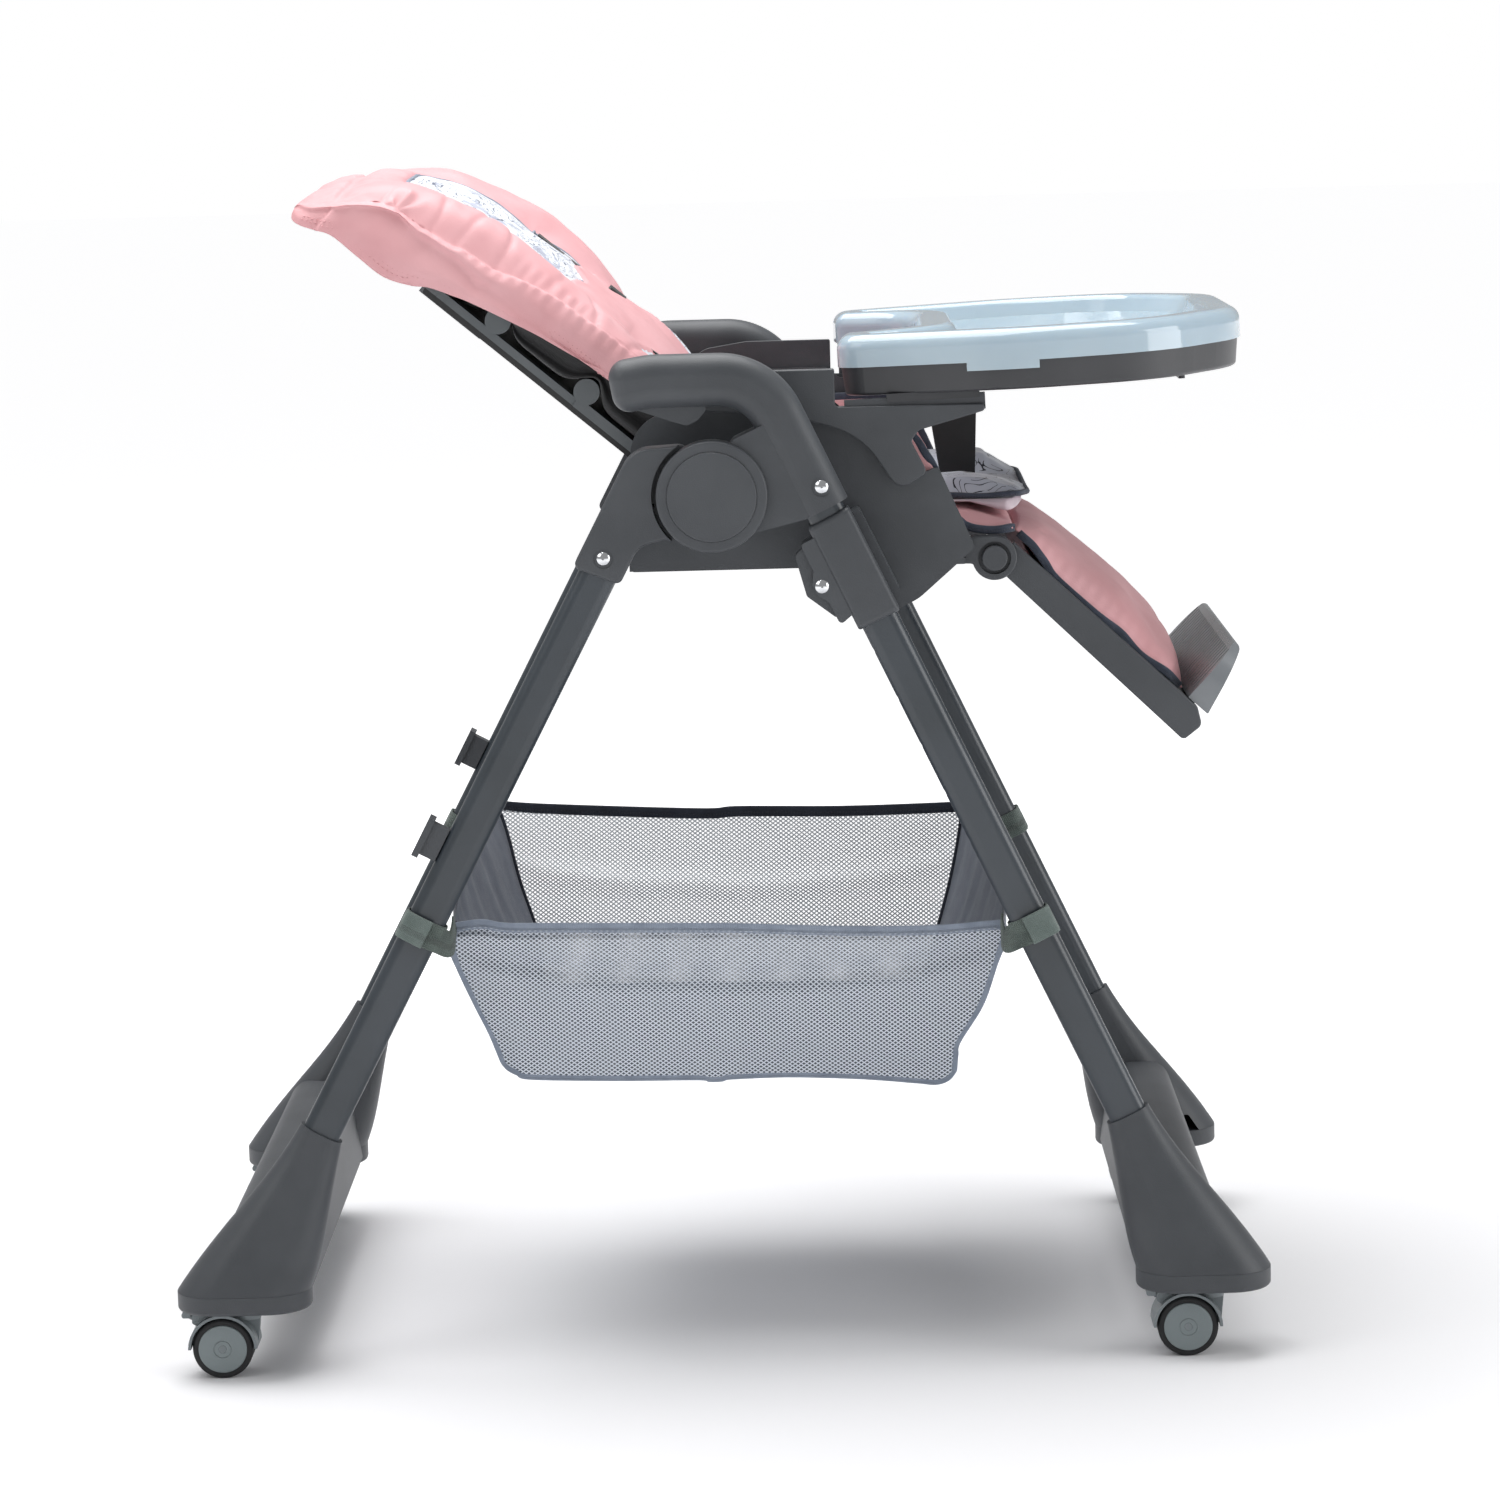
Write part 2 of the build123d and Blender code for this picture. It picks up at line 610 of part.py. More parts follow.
def backrest_shell():
    """Moulded back panel with two rounded cross ribs and a pivot ear on each side."""
    n = back_shell_n
    panel = across(back, back_face((6, n, 0), (back_shell_length, n, 2),
                                   (back_shell_length, n + back_shell_wall, 2),
                                   (6, n + back_shell_wall, 0)), back_shell_half)
    for u in (90, 176):
        rib = Pos(-u, n + 15) * Circle(10)
        panel += across(back, rib, back_shell_half + 4)
        post = Pos(-u, n + 8) * Rectangle(14, 14)
        panel += across(back, post, back_shell_half - 4)
    ear = back_face((0, -11, 0), (-2, 11, 0), (20, n + 8, 3), (92, n + 8, 0), (92, n, 0),
                    (20, n, 12))
    ear = slab(back, ear, back_shell_half - 2, cushion_half + 4)
    ear += disc(side, back_pivot, back_ear_radius, back_shell_half - 2, cushion_half + 4)
    ear = ear - slab(back, back_face((25, -20, 0), (25, 60, 0), (200, 60, 0), (200, -20, 0)),
                     back_shell_half + 4, 200)
    ear += disc(side, back_pivot, back_pivot_radius, cushion_half, seat_half)
    for place in (46.5, -51.5):
        guide = back_face((180, n - 13, 0), (240, n - 13, 0), (240, n + 1, 0), (180, n + 1, 0))
        panel += slab(back, guide, place, place + 5)
    return panel + ear + left(ear)


def backrest_rails():
    """Two flat stays on the back of the shell."""
    n = back_shell_n
    face = back_face((10, n - 5, 2), (235, n - 5, 2), (235, n, 0), (10, n, 0))
    return both(slab(back, face, 128, 142))


def recline_handle():
    """Squeeze handle behind the back panel that frees the recline."""
    n = back_shell_n
    grip = back_face((185, n - 12, 4), (214, n - 12, 4), (214, n - 0.6, 1), (185, n - 0.6, 1))
    return across(back, grip, 46)


def backrest_cushion():
    """Back cushion: two high bolsters beside a lower middle, drooping at the head."""
    face = back_face((30, 30, 6), (34, 74, 10), (104, 99, 40), (176, 118, 40), (240, 107, 50),
                     (308, 72, 40), (348, 18, 12), (349, -6, 5), (268, 0, 30), (226, 26, 20))
    body = across(back, face, cushion_half)
    plan_plane = Plane(origin=back.origin, x_dir=back.x_dir, z_dir=back.y_dir)
    plan = plan_plane * Pos(1.5, 0, 0) * RectangleRounded(700, 2 * cushion_half, 70)
    body = body & extrude(plan, 150, both=True)
    channel = back_face((0, 74, 0), (60, 82, 0), (176, 92, 0), (300, 150, 0), (0, 150, 0))
    body -= across(back, channel, 88)
    sleeve = back_face((-10, 0, 0), (-10, 28, 0), (back_shell_length + 2, 28, 0),
                       (back_shell_length + 2, 17, 0), (0, 0, 0))
    body -= across(back, sleeve, back_shell_half + 5)
    for u in (90, 176):
        body -= across(back, Pos(-u, back_shell_n + 15) * Circle(11), back_shell_half + 5)
    return body


def shoulder_harness():
    """Shoulder straps in the middle of the back, and their two adjusters."""
    strap = slab(back, back_face((62, 83.2, 0), (172, 92.8, 0), (172, 94.6, 0), (62, 85, 0)),
                 36, 62)
    pads = [Pos(-u, n + 3, -128) * Box(18, 6, 26) for u, n in ((234, 110), (187, 118.5))]
    pads = [back.location * fillet(pad.edges(), 1.5) for pad in pads]
    return Compound(children=[*both(strap).solids(), *[s for pad in pads for s in pad.solids()]])


# ------------------------------------------------------------------ leg rest
def legrest_frame():
    """Two side rails with round hinge ends and a panel between them."""
    end = leg_rail_length
    face = outline((0, -5, 0), (end - 3, -8, 4), (end, 10, 6), (end - 12, 18, 3), (4, 18, 0))
    rail = slab(leg, face, leg_rail_inner, leg_rail_outer)
    rail += disc(leg, (0, 0), leg_disc_radius - 2, leg_rail_inner, leg_rail_outer)
    rail = fillet(rail.faces().sort_by(Axis.Y)[0].edges(), 1.5)
    rail -= disc(leg, (0, 0), leg_pin_radius + pin_play, 140, 180)
    panel = outline((20, 7.5, 0), (20, 11.5, 0), (end - 22, 11.5, 0), (end - 22, 7.5, 0))
    panel = across(leg, panel, leg_rail_inner + 1)
    lip = outline((20, 7.5, 0), (20, 17.5, 0), (23, 17.5, 0), (23, 7.5, 0))
    return rail + left(rail) + panel + across(leg, lip, leg_rail_inner + 1)


def legrest_pins():
    return both(disc(leg, (0, 0), leg_pin_radius, leg_rail_inner, bracket_outer - 7.5))


def legrest_button():
    button = disc(leg, (0, 0), leg_button_radius, bracket_outer - 3.8, bracket_outer + 3.2)
    return fillet(button.faces().sort_by(Axis.Y)[0].edges(), 1)


def legrest_pad():
    face = outline((16, 18.8, 0), (22, 27, 6), (60, 41, 30), (130, 44, 30), (158, 41, 12),
                   (168, 28, 8), (166, 18.8, 0))
    return across(leg, face, leg_rail_inner + 2)


def footrest():
    """Ribbed foot plate on a flat tongue that slides under the leg pad."""
    inner_s, outer_s = 184.0, 204.0
    face = outline((inner_s, 18.8, 0), (inner_s, foot_height + 1, 3), (inner_s + 7, foot_height, 4),
                   (outer_s, 19, 1))
    plate = across(leg, face, 160)
    rise = foot_height - 19
    shape = RectangleRounded(2 * (foot_height + 2), 320, 36)
    shape_plane = Plane(origin=leg.origin, x_dir=leg.y_dir, z_dir=leg.x_dir)
    plate = plate & extrude(shape_plane * shape, 400)
    ribs = 26
    for i in range(ribs):
        y = -145 + 290 * i / (ribs - 1)
        groove = Pos(inner_s, 19 + rise / 2, y) * Box(2.4, rise - 14, 4)
        plate -= leg.location * groove
    tongue = outline((104, 12.2, 0), (104, 17.2, 1), (inner_s + 4, 17.2, 0), (inner_s + 4, 22, 0),
                     (inner_s + 10, 22, 0), (inner_s + 10, 12.2, 0))
    return plate + across(leg, tongue, 138)


# ------------------------------------------------------------------ tray
def tray_face(inset):
    """Plan of the tray, seen from above, with the cut for the child's body at the back."""
    length, half = tray_length, tray_half
    corner = 10.0
    right = [(belly_depth, 0, 0), (belly_depth, -104, 58), (3, -138, corner), (0, -190, 24),
             (140, -half - 4, 150), (245, -half + 10, 110), (length, -112, 125)]
    mirrored = [(x, -y, radius) for x, y, radius in reversed(right[1:])]
    face = outline(*(right[1:] + mirrored))
    return offset(face, -inset) if inset else face


def tray_level(height):
    """Plane parallel to the tray's seam, x towards the front."""
    origin = tray.from_local_coords(Vector(0, height, 0))
    return Plane(origin=origin, x_dir=tray.x_dir, z_dir=tray.y_dir)


def tray_base():
    """Dark lower tray, hollow towards the cover, with a groove for each arm rail."""
    depth = tray_base_depth
    body = extrude(tray_level(0) * tray_face(2.5), -depth, taper=6)
    body = fillet(body.faces().sort_by(tray_axis)[0].edges(), 3)
    cavity = extrude(tray_level(0) * tray_face(2.5 + tray_wall), -(depth - tray_wall), taper=6)
    body -= cavity
    runner = outline((36, -depth + 1, 0), (36, -depth - 5.5, 1), (106, -depth - 5.5, 1),
                     (106, -depth + 1, 0))
    for inner in (seat_half + 0.8, arm_outer - 2.4):
        flange = slab(tray, runner, inner, inner + 1.6)
        body += flange + left(flange)
    return body


def tray_cover():
    """Glossy lift-off cover: a rolled rim around a shallow basin, and a clip each side."""
    height = cover_height
    body = extrude(tray_level(snug) * tray_face(0), height)
    body = fillet(body.faces().sort_by(tray_axis)[-1].edges(), cover_roll)
    basin = extrude(tray_level(height - basin_depth) * tray_face(cover_rim), 40, taper=-28)
    body -= basin
    crest = body.faces().sort_by(tray_axis)[-1]
    body = fillet(crest.inner_wires()[0].edges(), 7)
    body -= extrude(tray_level(-1) * tray_face(tray_wall), height - basin_depth - 1.5)
    skirt = extrude(tray_level(-clip_drop) * tray_face(0), clip_drop + 2)
    skirt -= extrude(tray_level(-clip_drop - 1) * tray_face(clip_wall), clip_drop + 4)
    clip = Pos((clip_span[0] + clip_span[1]) / 2, 0) * Rectangle(clip_span[1] - clip_span[0], 600)
    return body + (skirt & extrude(tray_level(-20) * clip, 40))


def crotch_post():
    """Post under the tray that keeps the child from sliding out."""
    top = tray.from_local_coords(Vector(post_x, -tray_base_depth - snug, 0))
    face = outline((top.X - 22, top.Z - 0.8, 0), (top.X + 20, top.Z + 0.6, 0),
                   (top.X + 17, post_low_z, 3), (top.X - 10, post_low_z, 3))
    return across(side, face, 11)


def tray_latch():
    """Pull plate under the front of the tray that frees it from the arms."""
    low = -tray_base_depth - 4.6
    plate = extrude(tray_level(low) * Pos(250, 0) * RectangleRounded(46, 90, 6), 4)
    lip = extrude(tray_level(low - 7) * Pos(270, 0) * RectangleRounded(5, 84, 2), 8)
    return plate + lip


# ------------------------------------------------------------------ basket
def basket_side(grow, bottom, top_lift):
    """Tapered bag shape between the floor of the basket and its tilted rim."""
    low = Pos(8, 0, bottom) * RectangleRounded(352 + 2 * grow, 372 + 2 * grow, 24)
    rim = Pos(8, 0, basket_rim_z + top_lift) * Rot(basket_tilt, 0, 0)
    return loft([low, rim * RectangleRounded(412 + 2 * grow, 452 + 2 * grow, 12)])


def basket():
    return basket_side(0, basket_bottom_z, 0) - basket_side(-basket_wall, basket_bottom_z + 2, 0.5)


def strap(frame, z, corner_x):
    """Touch-fasten strap around a leg, with a tail to the corner of the basket."""
    y = leg_y(frame, z)
    loop = leg_bar(frame, y + 11, y - 11, 2.2) - leg_bar(frame, y + 20, y - 20, 0.3)
    x = leg_x(frame, z)
    length = abs(corner_x - x)
    tail = Pos((corner_x + x) / 2, -231, z) * Box(length, 1.6, 20)
    return loop + (tail - leg_bar(frame, y + 40, y - 40, 0.3))


# ------------------------------------------------------------------ build every sub-part
tube_front = leg_tube(front, 2, tube_grip) - lock_slot()
tube_front -= disc(front, front_rivet, rivet_radius + snug, 150, 300)
tube_rear = leg_tube(rear, -27, tube_grip) - disc(rear, rear_rivet, rivet_radius + snug, 150, 300)
save_pair("front_leg_tube", tube_front)
save_pair("rear_leg_tube", tube_rear)
save_pair("armrest", armrest())
save_pair("rear_leg_socket", rear_leg_socket())
save_pair("fold_trigger", fold_trigger())
save("hub_caps", both(hub_cap()))
save("hub_pins", both(hub_pin()))
armrest_inner = armrest_middle - armrest_width / 2
save("front_rivets", both(rivet(front, front_rivet, armrest_inner, ring_outer - 4.8)))
save("rear_rivets", both(rivet(rear, rear_rivet, leg_gauge / 2 - 13, leg_gauge / 2 + 11.2)))
save("tray_hooks", both(tray_hook()))

for name, frame, outward, shift in (("front", front, 1, front_stem_shift), ("rear", rear, -1, 0)):
    stem_x = leg_x(frame, pod_base_z) + shift
    save(f"{name}_foot_bar", foot_bar(frame, outward))
    save(f"{name}_foot_plates", foot_plates(frame, stem_x))
    save_pair(f"{name}_caster_housing", caster_place(stem_x, caster_housing()))
    save_pair(f"{name}_caster_wheels", caster_place(stem_x, caster_wheels()))
    save_pair(f"{name}_caster_brake", caster_place(stem_x, caster_brake()))

save("seat_shell", seat_shell())
save_pair("tray_arm", tray_arm())
save_pair("slider", slider())
save_pair("height_lock", height_lock())
save("slider_rivets", both(rivet(front, lock_pivot, leg_gauge / 2 - 12, leg_gauge / 2 + 12)))
save("seat_cushion", seat_cushion())
save("seat_insert", seat_insert())
save("lap_harness", lap_harness())
save("backrest_shell", backrest_shell())
save("backrest_rails", backrest_rails())
save("backrest_cushion", backrest_cushion())
save("recline_handle", recline_handle())
save("shoulder_harness", shoulder_harness())
save("legrest_frame", legrest_frame())
save("legrest_pins", legrest_pins())
save_pair("legrest_button", legrest_button())
save("legrest_pad", legrest_pad())
save("footrest", footrest())
save("tray_base", tray_base())
save("tray_cover", tray_cover())
save("crotch_post", crotch_post())
save("tray_latch", tray_latch())
save("basket", basket())
save("basket_straps_front", both(strap(front, 330, 214)))
save("basket_straps_rear", both(strap(rear, 338, -198)))
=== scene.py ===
import math

import bmesh
import bpy
import numpy as np
from mathutils import Matrix, Vector


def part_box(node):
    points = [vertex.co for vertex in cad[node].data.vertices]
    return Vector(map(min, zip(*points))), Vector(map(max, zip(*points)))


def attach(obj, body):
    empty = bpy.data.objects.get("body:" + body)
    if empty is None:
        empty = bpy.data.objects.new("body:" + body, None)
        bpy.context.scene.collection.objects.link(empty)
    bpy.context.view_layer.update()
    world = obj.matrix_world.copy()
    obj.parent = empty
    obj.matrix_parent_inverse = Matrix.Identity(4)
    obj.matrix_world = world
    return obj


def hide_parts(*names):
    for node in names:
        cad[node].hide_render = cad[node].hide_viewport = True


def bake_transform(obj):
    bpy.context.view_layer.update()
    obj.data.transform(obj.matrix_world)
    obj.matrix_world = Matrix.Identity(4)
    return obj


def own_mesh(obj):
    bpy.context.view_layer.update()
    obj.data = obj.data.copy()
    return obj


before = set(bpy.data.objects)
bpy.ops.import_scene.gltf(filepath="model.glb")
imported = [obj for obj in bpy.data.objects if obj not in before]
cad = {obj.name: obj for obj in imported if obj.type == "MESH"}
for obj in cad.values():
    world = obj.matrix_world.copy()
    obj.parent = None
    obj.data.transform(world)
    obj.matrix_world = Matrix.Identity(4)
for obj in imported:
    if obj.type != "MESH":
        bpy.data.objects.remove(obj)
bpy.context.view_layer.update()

world = bpy.data.worlds.new("studio")
bpy.context.scene.world = world
bpy.context.scene.view_settings.view_transform = "Standard"
print("frame loaded:", len(cad), "solids")


def linear(hexText):
    # sRGB to linear light: divide by 12.92 near black, a 2.4 power above it
    parts = np.array([int(hexText[i:i + 2], 16) for i in (1, 3, 5)]) / 255
    curve = np.where(parts <= 0.04045, parts / 12.92, ((parts + 0.055) / 1.055) ** 2.4)
    return (*curve.tolist(), 1.0)


def addNode(tree, kind, inputs=None, **settings):
    # one node, with its settings, and each input either linked or given a value
    made = tree.nodes.new("ShaderNode" + kind)
    for name, value in settings.items():
        setattr(made, name, value)
    for name, value in (inputs or {}).items():
        if isinstance(value, bpy.types.NodeSocket):
            tree.links.new(value, made.inputs[name])
        else:
            made.inputs[name].default_value = value
    return made


def startMaterial(name, values):
    # a principled shader with plain values on its own sockets
    material = bpy.data.materials.new(name)
    material.use_nodes = True
    tree = material.node_tree
    shader = tree.nodes["Principled BSDF"]
    for socket, value in values.items():
        shader.inputs[socket].default_value = value
    return material, tree, shader


def mottled(tree, shader, place, dark, light, size):
    # base colour drifts between two tones over patches of the given size in metres
    patches = addNode(tree, "TexNoise", {"Vector": place, "Scale": 1 / size, "Detail": 3.0})
    tone = addNode(tree, "ValToRGB", {"Fac": patches.outputs["Fac"]})
    tone.color_ramp.elements[0].position, tone.color_ramp.elements[1].position = 0.35, 0.65
    tone.color_ramp.elements[0].color, tone.color_ramp.elements[1].color = linear(dark), linear(light)
    tree.links.new(tone.outputs["Color"], shader.inputs["Base Color"])
    return tone


def grained(tree, shader, place, size, height, detail=2.0):
    # bump from noise whose grains are the given size, and whose relief is height, in metres
    grain = addNode(tree, "TexNoise", {"Vector": place, "Scale": 1 / size, "Detail": detail})
    bump = addNode(tree, "Bump", {"Height": grain.outputs["Fac"], "Distance": height, "Strength": 1.0})
    tree.links.new(bump.outputs["Normal"], shader.inputs["Normal"])


def objectPlace(tree):
    # the coordinate of the frame itself, since every piece stands at the origin
    return addNode(tree, "TexCoord").outputs["Object"]


def clothPlace(tree):
    # the coordinate that each piece of cloth keeps on its own surface
    return addNode(tree, "Attribute", attribute_name="cloth").outputs["Vector"]


def smoothLine(points, count, around=False):
    # cubic through the points: each span blends four neighbours (Catmull-Rom)
    points = np.asarray(points, float)
    n = len(points)
    spans = n if around else n - 1
    t = np.linspace(0, spans, count, endpoint=not around)
    i = np.minimum(t.astype(int), spans - 1)
    f = (t - i)[:, None]
    pick = (lambda k: points[(i + k) % n]) if around else (lambda k: points[np.clip(i + k, 0, n - 1)])
    a, b, c, d = pick(-1), pick(0), pick(1), pick(2)
    return 0.5 * (2 * b + (c - a) * f + (2 * a - 5 * b + 4 * c - d) * f ** 2
                  + (3 * b - a - 3 * c + d) * f ** 3)


def table(pairs, at):
    # smooth curve of a quantity given at a few places
    line = smoothLine(pairs, 240)
    return np.interp(at, line[:, 0], line[:, 1])


def near(distance, width):
    # bell: 1 at zero, falling off over the width
    return np.exp(-(distance / width) ** 2)


def ease(x, low, high):
    # 0 below low, 1 above high, and a smooth step of three t squared less two t cubed between
    t = np.clip((x - low) / (high - low), 0, 1)
    return t * t * (3 - 2 * t)


def waves(x, y, seed, size):
    # soft irregular relief: a sum of plane waves with seeded directions and phases, about -1 to 1
    random = np.random.default_rng(seed)
    total = 0
    for _ in range(9):
        angle, phase, stretch = random.uniform(0, [2 * math.pi, 2 * math.pi, 1])
        reach = 2 * math.pi / (size * (0.6 + stretch))
        total = total + np.sin(reach * (x * math.cos(angle) + y * math.sin(angle)) + phase)
    return total / 5


def gridMesh(name, points, material, around=False, capped=False, cloth=None):
    # rows x columns of points joined by quads, the last column to the first when it goes around;
    # capped closes the first and last rows with fans
    rows, cols = points.shape[:2]
    index = np.arange(rows * cols).reshape(rows, cols)
    right = np.roll(index, -1, axis=1)
    if not around:
        index, right = index[:, :-1], right[:, :-1]
    quads = np.stack([index[:-1], right[:-1], right[1:], index[1:]], axis=-1).reshape(-1, 4)
    corners = points.reshape(-1, 3)
    faces = quads.tolist()
    if capped:
        middles = np.array([points[0].mean(0), points[-1].mean(0)])
        first, last = rows * cols, rows * cols + 1
        corners = np.vstack([corners, middles])
        near0, far0 = index[0].tolist(), right[0].tolist()
        near1, far1 = index[-1].tolist(), right[-1].tolist()
        faces += [(first, b, a) for a, b in zip(near0, far0)] + [(last, a, b) for a, b in zip(near1, far1)]
        if cloth is not None:
            cloth = np.vstack([cloth.reshape(-1, 3), cloth[0].mean(0), cloth[-1].mean(0)])
    mesh = bpy.data.meshes.new(name)
    mesh.from_pydata(corners.tolist(), [], faces)
    if cloth is not None:
        layer = mesh.attributes.new("cloth", "FLOAT_VECTOR", "POINT")
        layer.data.foreach_set("vector", np.asarray(cloth, np.float32).ravel())
    piece = bpy.data.objects.new(name, mesh)
    bpy.context.scene.collection.objects.link(piece)
    mesh.materials.append(material)
    if around:
        turnOutwards(mesh)
    mesh.shade_smooth()
    return piece


def turnOutwards(mesh):
    # faces of a closed mesh point away from its inside
    work = bmesh.new()
    work.from_mesh(mesh)
    bmesh.ops.recalc_face_normals(work, faces=work.faces)
    work.to_mesh(mesh)
    work.free()


def carried(name, path, up, profile, material, around=False):
    # a closed profile (across, up) carried along a path; across is square to the path and to up
    path, up = np.asarray(path, float), np.broadcast_to(np.asarray(up, float), np.shape(path))
    if around:
        along = np.roll(path, -1, 0) - np.roll(path, 1, 0)
    else:
        along = np.gradient(path, axis=0)
    along /= np.linalg.norm(along, axis=1, keepdims=True)
    across = np.cross(along, up)
    across /= np.linalg.norm(across, axis=1, keepdims=True)
    raised = np.cross(across, along)
    profile = np.asarray(profile, float)
    points = path[:, None] + across[:, None] * profile[None, :, :1] + raised[:, None] * profile[None, :, 1:]
    length = np.concatenate([[0], np.cumsum(np.linalg.norm(np.diff(path, axis=0), axis=1))])
    turn = np.concatenate([[0], np.cumsum(np.linalg.norm(np.diff(profile, axis=0), axis=1))])
    cloth = np.zeros(points.shape)
    cloth[..., 0], cloth[..., 1] = length[:, None], turn[None]
    if around:
        points, cloth = np.vstack([points, points[:1]]), np.vstack([cloth, cloth[:1]])
    return gridMesh(name, points, material, around=True, capped=not around, cloth=cloth)


def mounted(piece, body):
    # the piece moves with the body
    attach(piece, body)
    return piece


def roundProfile(radius, count=10):
    # points round a circle
    turn = np.linspace(0, 2 * math.pi, count, endpoint=False)
    return np.column_stack([np.cos(turn), np.sin(turn)]) * radius


def flatProfile(width, thickness, count=12):
    # a flat band with rounded edges: a superellipse
    turn = np.linspace(0, 2 * math.pi, count * 2, endpoint=False)
    c, s = np.cos(turn), np.sin(turn)
    return np.column_stack([np.sign(c) * np.abs(c) ** 0.3 * width / 2,
                            np.sign(s) * np.abs(s) ** 0.6 * thickness / 2])


def resampled(field, rows, cols):
    # linear in both directions, the columns going around
    r = np.linspace(0, field.shape[0] - 1, rows)
    c = np.linspace(0, field.shape[1], cols, endpoint=False)
    r0, c0 = np.minimum(r.astype(int), field.shape[0] - 2), c.astype(int)
    fr, fc = (r - r0)[:, None, None], (c - c0)[None, :, None]
    c1 = (c0 + 1) % field.shape[1]
    low = field[r0][:, c0] * (1 - fc) + field[r0][:, c1] * fc
    high = field[r0 + 1][:, c0] * (1 - fc) + field[r0 + 1][:, c1] * fc
    return low * (1 - fr) + high * fr


puffing = {"frames": 16, "step": 2, "quality": 6, "mass": 0.3, "tension": 20, "bending": 0.6}


def puffed(points, pinned, pressure, cap):
    # blows the closed grid up as cloth, held at its seams, and gives its points after that,
    # none moved further than cap
    step, frames = puffing["step"], puffing["frames"]
    coarse, held = points[::step, ::step], pinned[::step, ::step]
    piece = gridMesh("puffing", coarse, None, around=True, capped=True)
    seams = piece.vertex_groups.new(name="seams")
    seams.add(np.flatnonzero(held.ravel()).tolist(), 1.0, "REPLACE")
    cloth = piece.modifiers.new("cloth", "CLOTH")
    cloth.settings.quality = puffing["quality"]
    cloth.settings.mass = puffing["mass"]
    cloth.settings.tension_stiffness = cloth.settings.compression_stiffness = puffing["tension"]
    cloth.settings.bending_stiffness = puffing["bending"]
    cloth.settings.vertex_group_mass = "seams"
    cloth.settings.use_pressure = True
    cloth.settings.uniform_pressure_force = pressure
    cloth.settings.effector_weights.gravity = 0
    cloth.collision_settings.use_collision = False
    scene = bpy.context.scene
    cloth.point_cache.frame_start, cloth.point_cache.frame_end = 1, frames
    for number in range(1, frames + 1):
        scene.frame_set(number)
        bpy.context.view_layer.update()
    got = piece.evaluated_get(bpy.context.evaluated_depsgraph_get()).data
    after = np.empty(len(got.vertices) * 3)
    got.vertices.foreach_get("co", after)
    after = after.reshape(-1, 3)[:coarse.shape[0] * coarse.shape[1]].reshape(coarse.shape)
    move = after - coarse
    far = np.linalg.norm(move, axis=-1, keepdims=True)
    move *= np.minimum(1, cap / np.maximum(far, 1e-9))
    bpy.data.objects.remove(piece)
    scene.frame_set(1)
    print("puffed, most moved", round(float(far.max()) * 1000, 1), "mm")
    return points + resampled(move, *points.shape[:2])


# where the camera stands, its turns in radians and its lens in mm
cameraView = {"place": (0.0711, -3.9064, 0.9835), "yaw": 0.0113985, "pitch": -0.139613,
              "roll": 0.0263203, "lens": 118.42}
camera = bpy.data.objects.new("camera", bpy.data.cameras.new("camera"))
bpy.context.scene.collection.objects.link(camera)
camera.data.sensor_width, camera.data.lens = 36, cameraView["lens"]
camera.data.clip_end = 100
camera.matrix_world = (Matrix.Translation(cameraView["place"])
                       @ Matrix.Rotation(cameraView["yaw"], 4, "Z")
                       @ Matrix.Rotation(math.pi / 2 + cameraView["pitch"], 4, "X")
                       @ Matrix.Rotation(-cameraView["roll"], 4, "Z"))
bpy.context.scene.camera = camera

# each lamp's place, side and watts; then the light that the white room itself gives
studio = {"lamps": {"key": ((-2.2, -1.6, 2.6), 2.0, 20), "fill": ((3.0, -0.8, 1.3), 1.8, 34),
                    "top": ((-0.3, 0.4, 2.9), 2.6, 96)},
          "ambient": 0.36, "floorHalf": 30.0, "glowFrom": 0.6, "glowTo": 2.4, "glow": 0.66}
for name, (place, size, power) in studio["lamps"].items():
    lamp = bpy.data.objects.new(name, bpy.data.lights.new(name, "AREA"))
    lamp.data.shape, lamp.data.size, lamp.data.energy = "SQUARE", size, power
    lamp.location = place
    lamp.rotation_euler = (Vector((0, 0, 0.5)) - lamp.location).to_track_quat("-Z", "Y").to_euler()
    bpy.context.scene.collection.objects.link(lamp)

world.use_nodes = True
sky = world.node_tree
ray = addNode(sky, "LightPath")
strength = addNode(sky, "MapRange", {"Value": ray.outputs["Is Camera Ray"], "To Min": studio["ambient"],
                                     "To Max": 1.0})
backdrop = sky.nodes["Background"]
backdrop.inputs["Color"].default_value = (1, 1, 1, 1)
sky.links.new(strength.outputs["Result"], backdrop.inputs["Strength"])

# matt white paper; it glows a little further out, as a lit sweep does, so that it has no horizon
floorPaper, tree, shader = startMaterial("paperSweep", {"Base Color": linear("#f4f4f6"), "Roughness": 0.9,
                                                      "Emission Color": linear("#ffffff")})
reach = addNode(tree, "VectorMath", {"Vector": objectPlace(tree)}, operation="LENGTH")
glow = addNode(tree, "MapRange", {"Value": reach.outputs["Value"], "From Min": studio["glowFrom"],
                                  "From Max": studio["glowTo"], "To Max": studio["glow"]},
               interpolation_type="SMOOTHSTEP")
tree.links.new(glow.outputs["Result"], shader.inputs["Emission Strength"])
side = studio["floorHalf"]
corners = np.array([[[-side, -side, 0], [side, -side, 0]], [[-side, side, 0], [side, side, 0]]], float)
floor = gridMesh("floor", corners, floorPaper)
print("studio ready")


